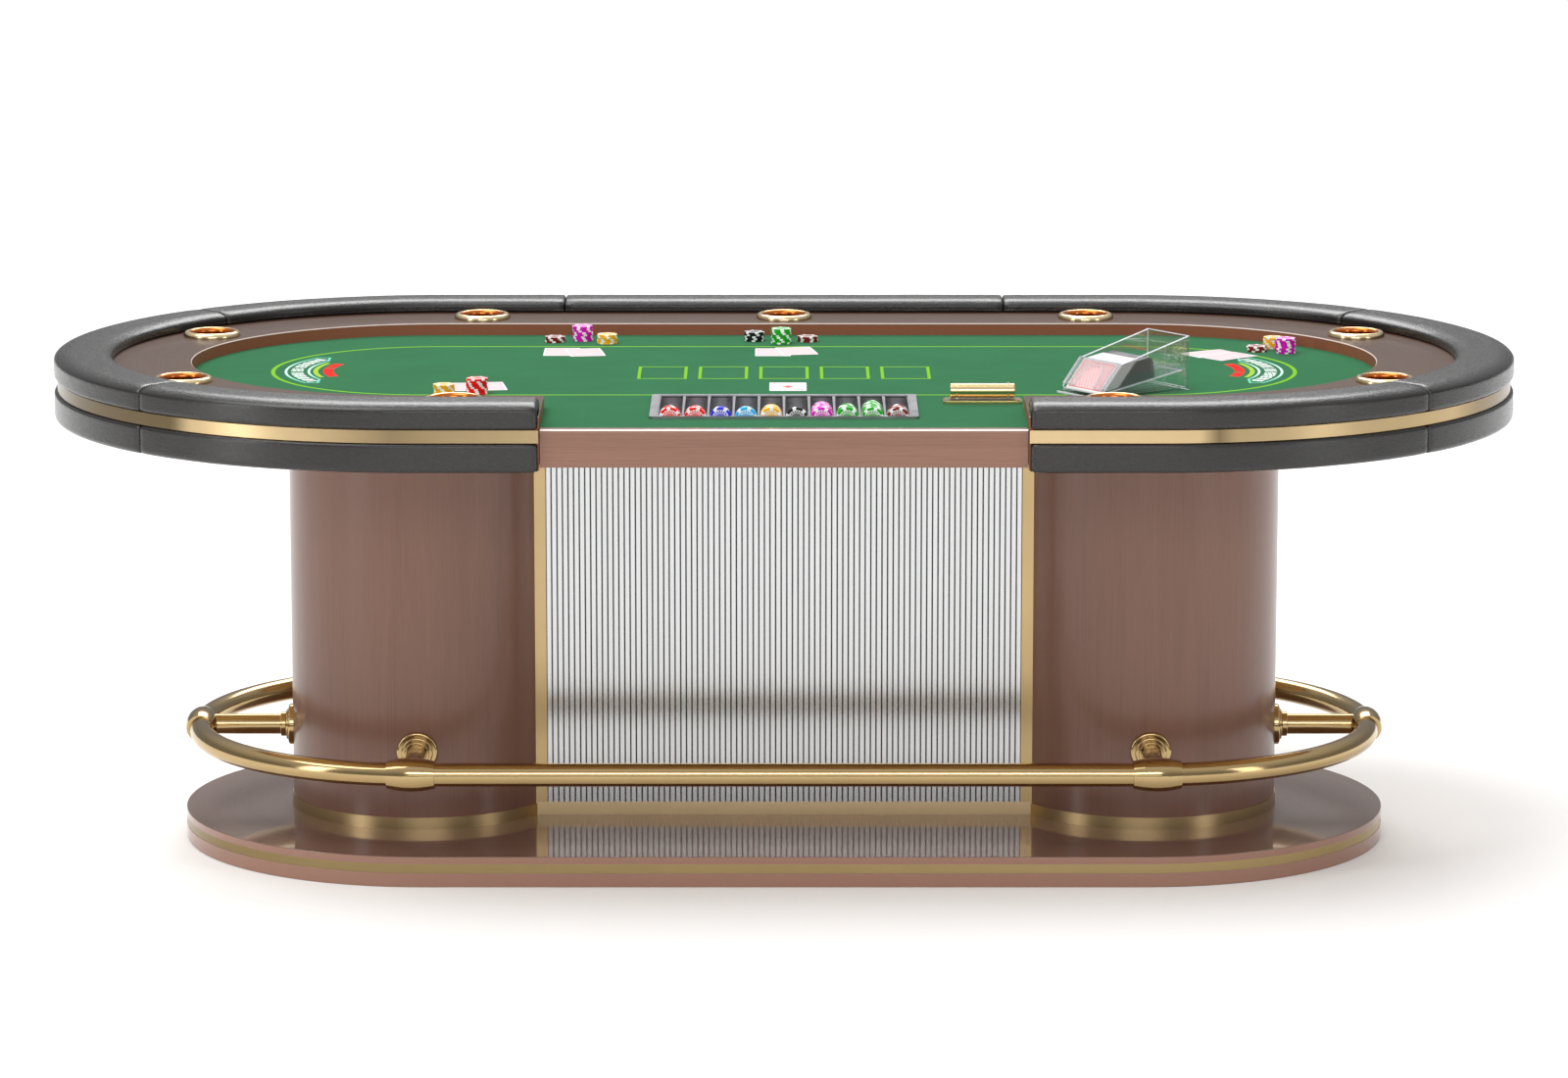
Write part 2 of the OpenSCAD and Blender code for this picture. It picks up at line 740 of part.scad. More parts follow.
module drop_slot_frame() color("#a8905c")
  difference() {
    union() {
      translate([slot_x, slot_y, felt_z]) linear_extrude(slot_plate[2] - 2)
        soft_rect(-slot_plate[0] / 2, -slot_plate[1] / 2, slot_plate[0] / 2,
          slot_plate[1] / 2, [4, 4, 4, 4]);
      translate([slot_x, slot_y, felt_z + slot_step]) linear_extrude(slot_plate[2] - slot_step)
        soft_rect(-slot_plate[0] / 2 + slot_step, -slot_plate[1] / 2 + slot_step,
          slot_plate[0] / 2 - slot_step, slot_plate[1] / 2 - slot_step, [3, 3, 3, 3]);
      translate([slot_x - slot_hole[0] / 2 - slot_wall, slot_y - slot_hole[1] / 2 - slot_wall,
        felt_z - slot_depth])
        cube([slot_hole[0] + 2 * slot_wall, slot_hole[1] + 2 * slot_wall, slot_depth + 1]);
    }
    slot_opening(slot_hole[0], slot_hole[1]);
  }

// The blade is let into the handle up to a little below its axis
module paddle_blade() color("#d8e4ea", 0.5)
  translate([slot_x, slot_y, handle_z - blade_in - blade[2] / 2]) cube(blade, center = true);

module paddle_handle() color("#d9b874")
  difference() {
    translate([slot_x - handle_l / 2, slot_y, handle_z]) rotate([0, 90, 0])
      rotate_extrude() difference() {
        soft_rect(0, 0, handle_r, handle_l, [0, 1.5, 1.5, 0]);
        for (z = [ring_inset, handle_l - ring_inset])
          translate([handle_r - ring_in, z - ring_w / 2]) square([2 * ring_in, ring_w]);
      }
    paddle_blade();
  }

// Clear rings that sit in the handle's two grooves and rest on the plate
module paddle_rings() color("#e8eef2")
  difference() {
    for (x = [ring_inset, handle_l - ring_inset])
      translate([slot_x - handle_l / 2 + x, slot_y, handle_z]) rotate([0, 90, 0])
        rotate_extrude()
          soft_rect(handle_r - ring_in, -ring_w / 2, handle_ring_r, ring_w / 2, [0, 1, 1, 0]);
    paddle_blade();
  }

// ---- card shoe ----

// the mouth's middle, from the place of the shoe's near rear corner
shoe_origin = [
  shoe_corner[0] - shoe_l * cos(shoe_turn) - shoe_w / 2 * sin(shoe_turn),
  shoe_corner[1] - shoe_l * sin(shoe_turn) + shoe_w / 2 * cos(shoe_turn)];
inner_w = shoe_w - 2 * acrylic_t;

module in_shoe() translate([shoe_origin[0], shoe_origin[1], felt_z])
  rotate([0, 0, shoe_turn]) children();

// Extrudes an outline in the shoe's x-z plane across a width
module across(w, y = 0) translate([0, y + w / 2, 0]) rotate([90, 0, 0])
  linear_extrude(w) children();

// Draws in the ramp's own plane: x up along the ramp, y square to it
module on_ramp() translate(ramp_start) rotate(ramp_slope) children();

// Clear base, two side plates and a back plate
module shoe_case() color("#dfe9ee", 0.4) in_shoe() {
  for (s = [-1, 1]) across(acrylic_t, s * (shoe_w - acrylic_t) / 2)
    polygon([[shoe_nose[0] + 3.5, 0], [shoe_nose[0] + 3.5, acrylic_t], shoe_nose, shoe_knee,
      [shoe_l, shoe_h], [shoe_l, 0]]);
  translate([shoe_l - acrylic_t, -shoe_w / 2, 0]) cube([acrylic_t, shoe_w, shoe_h]);
  translate([0, -shoe_w / 2, 0]) cube([shoe_l, shoe_w, acrylic_t]);
}

// Clear plate over the leaning cards, with a thumb slot and a gap for the next card below it
front_run = shoe_knee - shoe_nose;
front_l = norm(front_run);
module shoe_face_plate() color("#dfe9ee", 0.4) in_shoe()
  translate([shoe_nose[0], 0, shoe_nose[1]])
    rotate([0, -atan2(front_run[1], front_run[0]), 0]) linear_extrude(face_plate_t)
      difference() {
        translate([exit_gap, -shoe_w / 2]) square([front_l - exit_gap, shoe_w]);
        translate([0, -thumb_r]) square([thumb_z, 2 * thumb_r]);
        translate([thumb_z, 0]) circle(thumb_r);
      }

module shoe_ramp() color("#dfe9ee", 0.4) in_shoe() across(inner_w)
  on_ramp() translate([0, -ramp_t]) square([ramp_l, ramp_t]);

// Angle between the ramp and the face of the leaning cards
lean = face_angle - ramp_slope;
wedge_foot = stack_t + slide_gap / sin(lean) + slide_gap / tan(lean);

// The cards that wait in the shoe, a block that leans back on the ramp
module shoe_cards() color("#f4f1ee") in_shoe() across(card_l) on_ramp()
  polygon([[0, 0], face_l * [cos(lean), sin(lean)],
    [stack_t, 0] + face_l * [cos(lean), sin(lean)], [stack_t, 0]]);

// Weighted wedge that pushes the cards down the ramp, with a rounded back edge
module shoe_wedge() color("#55555a") in_shoe() across(inner_w - 2 * play) on_ramp()
  translate([wedge_foot, slide_gap]) polygon(concat(
    [[0, 0], [wedge_h / tan(lean), wedge_h]],
    [for (a = [90:-10:0]) [wedge_l - wedge_round, wedge_h - wedge_round]
      + wedge_round * [cos(a), sin(a)]],
    [[wedge_l, 0]]));

// ---- chips and cards on the felt ----

module felt_chips() color("#c8322d")
  for (p = FELT_CHIPS) translate([p[0], p[1], felt_z]) chip_stack(p[2]);

module felt_cards() color("#f6ecec")
  for (c = FELT_CARDS)
    translate([c[0], c[1], felt_z + c[3] * (card_t + card_gap)]) rotate([0, 0, c[2]])
      linear_extrude(card_t)
        soft_rect(-card_w / 2, -card_l / 2, card_w / 2, card_l / 2, [3, 3, 3, 3]);

plinth_lower_board();
plinth_core_board();
plinth_brass_band();
plinth_upper_board();
left_pedestal_shell();
right_pedestal_shell();
pedestal_base_rings();
pedestal_formers();
pedestal_bolts();
front_carcass_board();
rear_carcass_board();
carcass_ribs();
front_reeded_panel();
rear_reeded_panel();
panel_side_strips();
panel_base_strips();
front_rail_tube();
rear_rail_tube();
front_left_rail_bend();
rear_left_rail_bend();
front_right_rail_bend();
rear_right_rail_bend();
rail_sleeves();
rail_posts();
rail_collars();
rail_flanges();
post_bolts();
bed_board();
deck_frame();
playing_board();
felt_layout();
racetrack_board();
rail_apron();
dealer_fascia();
rail_brass_band();
armrest_core();
armrest_bolts();
upper_pad_back();
upper_pad_back_left();
upper_pad_left_end();
upper_pad_front_left();
upper_pad_back_right();
upper_pad_right_end();
upper_pad_front_right();
lower_pads();
cup_holders();
chip_tray();
tray_chips();
drop_slot_frame();
paddle_blade();
paddle_handle();
paddle_rings();
shoe_case();
shoe_face_plate();
shoe_ramp();
shoe_cards();
shoe_wedge();
felt_chips();
felt_cards();
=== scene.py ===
import json
import math
import random

import bmesh
import bpy
from mathutils import Matrix, Vector, noise


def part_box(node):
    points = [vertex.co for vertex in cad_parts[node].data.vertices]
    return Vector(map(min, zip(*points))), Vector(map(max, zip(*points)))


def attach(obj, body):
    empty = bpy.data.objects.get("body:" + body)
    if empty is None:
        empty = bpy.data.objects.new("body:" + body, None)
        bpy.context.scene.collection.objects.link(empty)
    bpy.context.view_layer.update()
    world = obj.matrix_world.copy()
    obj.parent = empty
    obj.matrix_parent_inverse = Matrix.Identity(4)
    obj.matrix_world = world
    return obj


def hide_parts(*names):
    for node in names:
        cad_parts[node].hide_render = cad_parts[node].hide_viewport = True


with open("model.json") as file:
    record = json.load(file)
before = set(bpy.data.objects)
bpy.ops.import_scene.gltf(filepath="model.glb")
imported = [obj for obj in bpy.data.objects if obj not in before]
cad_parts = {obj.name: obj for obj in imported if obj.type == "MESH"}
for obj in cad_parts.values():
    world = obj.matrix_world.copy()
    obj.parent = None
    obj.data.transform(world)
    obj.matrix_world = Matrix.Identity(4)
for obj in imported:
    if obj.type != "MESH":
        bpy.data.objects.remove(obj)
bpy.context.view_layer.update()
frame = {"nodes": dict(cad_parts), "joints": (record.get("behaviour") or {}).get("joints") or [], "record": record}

nodes = frame["nodes"]
record = frame["record"]
scene = bpy.context.scene
random.seed(7)

MM = 0.001

# ---- sizes read from the frame ----


def span(name, axis):
    """The lowest and highest coordinate of a CAD node along an axis."""
    low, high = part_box(name)
    return low[axis], high[axis]


# Half the straight length of the table's outline, and its main levels
HALF = round((span("bed_board", 0)[1] - span("bed_board", 1)[1]) / MM) * MM
FELT_Z = span("felt_layout", 2)[1]
TRACK_Z = span("racetrack_board", 2)[1]
PAD_LOW, PAD_TOP = span("upper_pad_back", 2)
PAD_IN, PAD_OUT = span("upper_pad_back", 1)
SKIRT_LOW, SKIRT_TOP = span("lower_pads", 2)
PLINTH_TOP = span("plinth_upper_board", 2)[1]
APRON_R = span("rail_apron", 1)[1]
SEAM_X = span("upper_pad_back", 0)[1]
END_X = -span("upper_pad_front_left", 0)[1]


def islands(name):
    """The corner points of each separate solid of a CAD node."""
    mesh = nodes[name].data
    first = {}
    home = [first.setdefault(tuple(round(c, 6) for c in v.co), v.index) for v in mesh.vertices]
    parent = list(range(len(home)))

    def top(i):
        while parent[i] != i:
            parent[i] = parent[parent[i]]
            i = parent[i]
        return i

    for edge in mesh.edges:
        a, b = (top(home[i]) for i in edge.vertices)
        parent[a] = b
    found = {}
    for vertex in mesh.vertices:
        found.setdefault(top(home[vertex.index]), []).append(vertex.co.copy())
    return list(found.values())


def middle(points):
    """The middle and the size of the box round some points."""
    low = Vector([min(p[i] for p in points) for i in range(3)])
    high = Vector([max(p[i] for p in points) for i in range(3)])
    return (low + high) / 2, high - low


# ---- shader graphs ----


# The radius at which lengths along the table's round ends are measured, and how far the
# pattern of the front half is shifted, so that it doesn't mirror the back
PATTERN_R = 0.55
PATTERN_SHIFT = 3.7


def set_stops(ramp, stops):
    while len(ramp.elements) < len(stops):
        ramp.elements.new(0.5)
    for element, (position, colour) in zip(ramp.elements, stops):
        element.position = position
        element.color = (*colour, 1.0)


class Graph:
    """One material's node tree, with a short call for each kind of node used here."""

    def __init__(self, name, **settings):
        self.material = bpy.data.materials.new(name)
        self.material.use_nodes = True
        self.tree = self.material.node_tree
        self.tree.nodes.clear()
        output = self.node("OutputMaterial")
        self.shader = self.node("BsdfPrincipled")
        self.tree.links.new(self.shader.outputs[0], output.inputs[0])
        for key, value in settings.items():
            self.set(key.replace("_", " "), value)

    def node(self, kind, **settings):
        made = self.tree.nodes.new("ShaderNode" + kind)
        for key, value in settings.items():
            setattr(made, key, value)
        return made

    def feed(self, socket, value):
        if isinstance(value, bpy.types.NodeSocket):
            self.tree.links.new(value, socket)
        elif isinstance(value, (tuple, list)) and socket.type == "RGBA":
            socket.default_value = (*value[:3], 1.0)
        else:
            socket.default_value = value

    def feed_named(self, made, **values):
        for key, value in values.items():
            self.feed(made.inputs[key], value)

    def set(self, name, value):
        self.feed(self.shader.inputs[name], value)

    def paint(self, colour):
        self.set("Base Color", colour)

    def math(self, operation, *values):
        made = self.node("Math", operation=operation)
        for socket, value in zip(made.inputs, values):
            self.feed(socket, value)
        return made.outputs[0]

    def minus(self, a, b):
        return self.math("SUBTRACT", a, b)

    def times(self, a, b):
        return self.math("MULTIPLY", a, b)

    def apart(self, a, b):
        """The distance between two values."""
        return self.math("ABSOLUTE", self.minus(a, b))

    def hypot(self, a, b):
        return self.math("SQRT", self.math("ADD", self.times(a, a), self.times(b, b)))

    def place(self, kind="Object"):
        """The three coordinates of a point in the object's own frame, in metres, or its UV."""
        coords = self.node("TexCoord")
        split = self.node("SeparateXYZ")
        self.feed(split.inputs[0], coords.outputs[kind])
        return tuple(split.outputs)

    def stretched(self, place, scales):
        """The place as one vector, each of its coordinates scaled."""
        made = self.node("CombineXYZ")
        for socket, part, scale in zip(made.inputs, place, scales):
            self.feed(socket, self.times(part, scale))
        return made.outputs[0]

    def noise(self, place, scales, detail=3.0, roughness=0.55, distortion=0.0):
        """Noise with scales waves per metre along each of the place's coordinates."""
        made = self.node("TexNoise")
        self.feed_named(made, Vector=self.stretched(place, scales), Scale=1.0, Detail=detail,
                        Roughness=roughness, Distortion=distortion)
        return made.outputs[0]

    def cells(self, place, scales, smooth):
        made = self.node("TexVoronoi", feature="SMOOTH_F1")
        self.feed_named(made, Vector=self.stretched(place, scales), Scale=1.0,
                        Smoothness=smooth)
        return made.outputs["Distance"]

    def ramp(self, value, *stops):
        """A colour ramp with (position, colour) stops."""
        made = self.node("ValToRGB")
        set_stops(made.color_ramp, stops)
        self.feed(made.inputs[0], value)
        return made.outputs[0]

    def levels(self, value, low, high, to_low=0.0, to_high=1.0):
        made = self.node("MapRange", clamp=True)
        for socket, number in zip(made.inputs, (value, low, high, to_low, to_high)):
            self.feed(socket, number)
        return made.outputs[0]

    def mix(self, factor, a, b, blend="MIX"):
        made = self.node("Mix", data_type="RGBA", blend_type=blend)
        self.feed(made.inputs[0], factor)
        self.feed(made.inputs[6], a)
        self.feed(made.inputs[7], b)
        return made.outputs[2]

    def bump(self, height, distance, strength=1.0):
        made = self.node("Bump")
        self.feed_named(made, Strength=strength, Distance=distance, Height=height)
        self.set("Normal", made.outputs[0])

    def round_table(self, place):
        """Coordinates that follow the table's outline: (along it, outward, up)."""
        x, y, z = place
        away = self.math("ABSOLUTE", x)
        straight = self.math("MINIMUM", away, HALF)
        beyond = self.math("MAXIMUM", self.minus(away, HALF), 0.0)
        depth = self.math("ABSOLUTE", y)
        angle = self.math("ARCTAN2", beyond, depth)
        arc = self.math("MULTIPLY_ADD", angle, PATTERN_R, straight)
        along = self.times(arc, self.math("SIGN", x))
        front = self.math("LESS_THAN", y, 0.0)
        return (self.math("MULTIPLY_ADD", front, PATTERN_SHIFT, along),
                self.hypot(beyond, depth), z)

    def band(self, value, centre, half_width, soft=0.0006):
        """1 where value is within half_width of centre, else 0."""
        off = self.apart(value, centre)
        return self.levels(off, half_width - soft, half_width + soft, 1.0, 0.0)


def tone(r, g, b):
    """Linear colour from a colour as a screen shows it, 0 to 255."""
    return tuple(((c / 255 + 0.055) / 1.055) ** 2.4 if c > 10 else c / 3295 for c in (r, g, b))


def shade(colour, factor):
    """The colour made darker or lighter."""
    return tuple(c * factor for c in colour)


# ---- materials ----


def veneer(name, colour, rough, coat, polish, upright=False, gloss=0.3, painted_wall_light=None, edge=None):
    """Walnut veneer: fine pores along the grain, slow figure across it, lacquered.

    The grain runs round the table, or upright. polish is the lacquer's roughness, wall is
    (height, colour) of a redder face below that height, painted light on the upright faces,
    and edge is (lowest height, extent, colour) of a painted highlight along a rounded edge.
    """
    g = Graph(name, Roughness=rough, Coat_Weight=coat, Coat_Roughness=polish,
              Specular_IOR_Level=gloss)
    x, y, height = place = g.place()
    place = (height, x, y) if upright else g.round_table(place)
    fine = g.noise(place, (6, 640, 640), detail=4, roughness=0.7)
    pores = g.noise(place, (34, 1300, 1300), detail=2)
    figure = g.noise(place, (1.1, 24, 24), detail=4, distortion=0.9)
    cloud = g.noise(place, (1.6, 3.2, 3.2), detail=2)
    grain = g.math("ADD", g.times(fine, 0.6), g.times(figure, 0.4))
    base = g.ramp(grain, (0.30, shade(colour, 0.792)), (0.5, colour),
                  (0.72, shade(colour, 1.169)))
    base = g.mix(g.levels(cloud, 0.35, 0.7, 0.0, 0.30), base, shade(colour, 0.88))
    # painted light: the upright faces below the given height get a lighter, redder copy of the veneer than its top
    if painted_wall_light:
        level, red = painted_wall_light
        base = g.mix(g.levels(height, level - 1.2 * MM, level, 1.0, 0.0), base, red)
    # painted highlight: a pale band on the rounded edge between two heights
    if edge:
        level, extent, pale = edge
        top = level + extent
        worn = g.times(g.levels(height, level, level + 0.3 * MM),
                       g.levels(height, top - 0.1 * MM, top, 1.0, 0.0))
        base = g.mix(worn, base, pale)
    dark_pore = g.levels(pores, 0.60, 0.70, 0.0, 0.22)
    g.paint(g.mix(dark_pore, base, shade(colour, 0.5)))
    g.set("Roughness", g.levels(fine, 0.3, 0.7, rough - 0.05, rough + 0.09))
    g.bump(g.math("MULTIPLY_ADD", pores, 0.6, fine), 0.04 * MM)
    return g.material


def plywood():
    """Birch ply: its layers show on the edges."""
    g = Graph("plywood", Roughness=0.7)
    place = g.place()
    plies = g.noise(place, (1.5, 1.5, 700), detail=1)
    fleck = g.noise(place, (9, 240, 240), detail=4)
    layers = g.math("ADD", g.times(plies, 0.5), g.times(fleck, 0.5))
    g.paint(g.ramp(layers, (0.35, tone(158, 122, 84)), (0.6, tone(205, 176, 134))))
    g.bump(fleck, 0.2 * MM)
    return g.material


def metal(name, colour, rough, follow=True, brushed=0.5, painted_reflection=()):
    """Metal with brush lines along the piece and faint handling marks.

    age is a painted reflection: (x in metres, brightness) along the table, multiplied into the colour.
    """
    g = Graph(name, Metallic=1.0)
    place = g.place()
    polish = None
    # painted reflection: a brightness along X that stands in for the light and dark the metal reflects
    if painted_reflection:
        low, high = painted_reflection[0][0], painted_reflection[-1][0]
        polish = g.ramp(g.levels(place[0], low, high),
                        *[((x - low) / (high - low), (level,) * 3) for x, level in painted_reflection])
    if follow:
        place = g.round_table(place)
    lines = g.noise(place, (7, 1300, 1300), detail=3, roughness=0.7)
    marks = g.noise(place, (6, 9, 9), detail=5, roughness=0.6)
    base = g.mix(g.levels(marks, 0.42, 0.75, 0.0, 0.35), colour, shade(colour, 0.82))
    # the painted reflection is multiplied into the colour here
    if polish is not None:
        base = g.mix(1.0, base, polish, "MULTIPLY")
    g.paint(base)
    wear = g.math("ADD", g.times(lines, 0.10 * brushed), g.times(marks, 0.06))
    g.set("Roughness", g.math("ADD", wear, rough - 0.03 - 0.05 * brushed))
    g.bump(lines, 0.02 * MM * brushed)
    return g.material


PANEL_TONE = tone(210, 210, 210)
# colour of the painted shade in the panel's grooves
PANEL_GROOVE_SHADE = tone(52, 52, 55)


def reeded_metal():
    """Brushed aluminium with upright brush lines, and painted shade in the grooves."""
    g = Graph("reeded_metal", Metallic=1.0)
    place = g.place()
    face = span("front_reeded_panel", 1)[0]
    lines = g.noise(place, (1500, 1500, 5), detail=3, roughness=0.7)
    marks = g.noise(place, (2.5, 2.5, 2.0), detail=2)
    depth = g.math("ADD", g.math("ABSOLUTE", place[1]), face)
    # painted shade: faces sunk 0.35 to 0.9 mm or more behind the panel's face are darkened
    groove_shade = g.levels(depth, -0.9 * MM, -0.35 * MM, 1.0, 0.0)
    dull = shade(PANEL_TONE, 0.88)
    bright = g.mix(g.levels(lines, 0.3, 0.7), PANEL_TONE, dull)
    bright = g.mix(g.levels(marks, 0.3, 0.7, 0.0, 0.35), bright, dull)
    g.paint(g.mix(groove_shade, bright, PANEL_GROOVE_SHADE))
    g.set("Roughness", g.math("MULTIPLY_ADD", lines, 0.05, 0.18))
    g.bump(lines, 0.006 * MM, 0.5)
    return g.material


# How far from a cup's middle its copper inside reaches, and how far below the racetrack its painted shade reaches
CUP_MOUTH = 41.5 * MM
CUP_SHADE = 45 * MM


def cup_metal():
    """Polished brass flange, with a copper inside that has painted shade, darker towards the bottom."""
    g = Graph("cup_brass", Metallic=1.0)
    x, y, z = place = g.place()
    nearest = None
    for cx, cy in cup_middles():
        away = g.hypot(g.minus(g.math("ABSOLUTE", x), cx), g.minus(g.math("ABSOLUTE", y), cy))
        nearest = away if nearest is None else g.math("MINIMUM", nearest, away)
    inside = g.levels(nearest, CUP_MOUTH, CUP_MOUTH + 0.8 * MM, 1.0, 0.0)
    # painted shade: the copper is darker the lower it lies in the cup
    depth_shade = g.levels(z, TRACK_Z - CUP_SHADE, TRACK_Z, 0.25, 1.0)
    marks = g.noise(place, (30, 30, 30), detail=4)
    brass = g.mix(g.levels(marks, 0.4, 0.7, 0.0, 0.4), tone(236, 214, 170), tone(224, 198, 150))
    copper = g.mix(depth_shade, tone(150, 70, 26), tone(206, 118, 54))
    g.paint(g.mix(inside, brass, copper))
    g.set("Roughness", g.math("MULTIPLY_ADD", marks, 0.12, 0.16))
    return g.material


def cup_middles():
    """Middles of the cup holders, folded into the quarter of the table with +X and +Y."""
    found = []
    for points in islands("cup_holders"):
        centre, _ = middle(points)
        folded = (round(abs(centre.x), 4), round(abs(centre.y), 4))
        if folded not in found:
            found.append(folded)
    return found


FELT_GREEN = tone(56, 113, 77)
LINE_GREEN = tone(128, 192, 44)
LINE_COVER = 0.94
# Radius and width of the line round the felt
LINE_R = 0.282
LINE_W = 0.0072
# The card boxes: how many, their size, their pitch, their middle and their line's width
BOX_COUNT = 5
BOX_W = 0.088
BOX_L = 0.142
BOX_PITCH = 0.1081
BOX_Y = -0.0295
BOX_LINE = 0.0056
THREAD_PITCH = 1.1 * MM


def felt_cloth():
    """Speed cloth: a fine weave, and the printed layout."""
    g = Graph("felt", Roughness=0.9, Sheen_Weight=0.03, Sheen_Roughness=0.5,
              Specular_IOR_Level=0.0)
    x, y, z = place = g.place()
    cloud = g.noise(place, (7, 7, 7), detail=5, roughness=0.6)
    thread = g.noise(place, (350, 1500, 900), detail=2)
    cloth = g.mix(g.levels(cloud, 0.3, 0.7), FELT_GREEN, shade(FELT_GREEN, 1.12))
    cloth = g.mix(g.levels(thread, 0.35, 0.7, 0.0, 0.35), cloth, shade(FELT_GREEN, 0.72))
    ring = g.band(g.round_table(place)[1], LINE_R, LINE_W / 2)
    for line in (ring, card_boxes(g, x, y)):
        cloth = g.mix(g.times(line, LINE_COVER), cloth, LINE_GREEN)
    for mask, ink in emblem(g, x, y):
        cloth = g.mix(mask, cloth, ink)
    g.paint(cloth)
    pitch = 2 * math.pi / THREAD_PITCH
    warp = g.math("SINE", g.times(x, pitch))
    weft = g.math("SINE", g.times(y, pitch))
    weave = g.math("MULTIPLY_ADD", g.times(warp, weft), 0.5, thread)
    g.bump(weave, 0.12 * MM, 0.8)
    return g.material


def card_boxes(g, x, y):
    """The five card boxes in front of the tray, as outlines."""
    half = BOX_COUNT * BOX_PITCH / 2
    local = g.math("MODULO", g.math("ADD", x, half), BOX_PITCH)
    dx = g.minus(g.apart(local, BOX_PITCH / 2), BOX_W / 2)
    dy = g.minus(g.apart(y, BOX_Y), BOX_L / 2)
    edge = g.band(g.math("MAXIMUM", dx, dy), -BOX_LINE / 2, BOX_LINE / 2)
    return g.times(edge, g.math("LESS_THAN", g.math("ABSOLUTE", x), half))


# The badge's arched frame: its middle radius, its width, and where its ends are cut off
ARCH_MID = 0.2388
ARCH_W = 0.0445
ARCH_LOW = 0.190
ARCH_SIDE = 0.148
# Its strips of print: inner radius, outer radius, and the angle reached on both sides
BARS = (0.2285, 0.2500, 0.575)
DASHES = (0.2020, 0.2105, 0.405)
RIBBON = (0.1745, 0.1930, 0.405)


def emblem(g, x, y):
    """A made-up badge at each end of the felt: an arched frame with bars, dashes and a ribbon."""
    side = g.math("SIGN", x)
    u = g.minus(g.math("ABSOLUTE", x), HALF)
    radius = g.hypot(u, y)
    angle = g.times(g.math("ARCTAN2", y, u), side)
    swing = g.math("ABSOLUTE", angle)

    def strip(inner, outer, reach):
        return g.times(g.band(radius, (inner + outer) / 2, (outer - inner) / 2),
                       g.levels(swing, reach - 0.006, reach + 0.006, 1.0, 0.0))

    def stripes(phase, low, high, faint):
        return g.levels(g.math("SINE", phase), low, high, faint, 1.0)

    across_arch = g.minus(g.apart(radius, ARCH_MID), ARCH_W / 2)
    ends = g.math("MAXIMUM", g.minus(ARCH_LOW, u),
                  g.minus(g.math("ABSOLUTE", y), ARCH_SIDE))
    outline = g.band(g.math("MAXIMUM", across_arch, ends), -0.002, 0.0021)
    letters = stripes(g.times(angle, 69.0), -0.75, -0.45, 0.0)
    slanted = g.math("MULTIPLY_ADD", radius, 800.0, g.times(angle, 40.0))
    bars = g.times(g.times(letters, stripes(slanted, -0.9, -0.6, 0.35)), strip(*BARS))
    space = g.band(swing, 0.095, 0.018, 0.004)
    bars = g.times(bars, g.minus(1.0, space))
    dashes = stripes(g.math("MULTIPLY_ADD", angle, 110.0, 0.7), -0.85, -0.55, 0.25)
    dashes = g.times(dashes, strip(*DASHES))
    fold = g.times(g.band(angle, -0.125, 0.030, 0.008),
                   g.levels(radius, 0.183, 0.189, 1.0, 0.45))
    ribbon = g.times(strip(*RIBBON), g.minus(1.0, fold))
    frame_tone = g.mix(g.levels(swing, 0.15, 0.5), tone(214, 250, 240),
                       tone(122, 214, 186))
    return ((outline, frame_tone), (bars, tone(236, 246, 242)),
            (dashes, tone(176, 214, 66)), (ribbon, tone(236, 52, 48)))


LEATHER = tone(24, 21, 19)


def leather():
    """Black leather: creases that run along the pad with painted shade in them, a fine pebble grain, a soft
    polish.
    """
    g = Graph("leather", Specular_IOR_Level=0.42, Coat_Weight=0.35, Coat_Roughness=0.22)
    place = g.round_table(g.place())
    sway = g.noise(place, (30, 60, 60), detail=2)
    bent = [g.math("MULTIPLY_ADD", sway, 0.005, part) for part in place]
    pebble = g.cells(bent, (400, 700, 700), 0.5)
    crease = g.noise(bent, (110, 480, 480), detail=4, roughness=0.6)
    tonal = g.noise(place, (14, 20, 20), detail=3)
    base = g.mix(g.levels(tonal, 0.35, 0.7), LEATHER, shade(LEATHER, 1.08))
    # painted shade: the low parts of the creases are darkened
    crease_shade = g.levels(crease, 0.42, 0.58, 0.35, 0.0)
    g.paint(g.mix(crease_shade, base, shade(LEATHER, 0.45)))
    g.set("Roughness", g.levels(crease, 0.3, 0.7, 0.34, 0.24))
    rough = g.math("MULTIPLY_ADD", pebble, -0.35, crease)
    g.bump(rough, 0.8 * MM, 0.8)
    return g.material


# Width of the tray's rim: at its ends, at its back and at its front
TRAY_RIM = (13.4 * MM, 14.8 * MM, 9.8 * MM)


def tray_metal():
    """Anodised tray: a light rim, and troughs that are darker below a height just above the felt."""
    g = Graph("tray_metal")
    x, y, z = place = g.place()
    low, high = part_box("chip_tray")
    ends, back, front = TRAY_RIM
    dx = g.minus(g.apart(x, (low[0] + high[0]) / 2), (high[0] - low[0]) / 2 - ends)
    dy = g.minus(g.apart(y, (low[1] + front + high[1] - back) / 2),
                 (high[1] - back - low[1] - front) / 2)
    within = g.math("LESS_THAN", g.math("MAXIMUM", dx, dy), 0.0)
    edge = g.levels(z, FELT_Z + 2.2 * MM, FELT_Z + 3.3 * MM)
    marks = g.noise(place, (25, 25, 25), detail=4)
    rim_tone = g.mix(marks, tone(150, 150, 154), tone(168, 168, 172))
    # inside the rim, faces below a height just above the felt are darker; the divider tops stay light
    inside = g.mix(edge, tone(52, 51, 54), tone(150, 150, 156))
    g.paint(g.mix(within, rim_tone, inside))
    g.set("Metallic", g.minus(1.0, g.times(within, 0.55)))
    g.set("Roughness", g.math("MULTIPLY_ADD", marks, 0.15, 0.24))
    return g.material


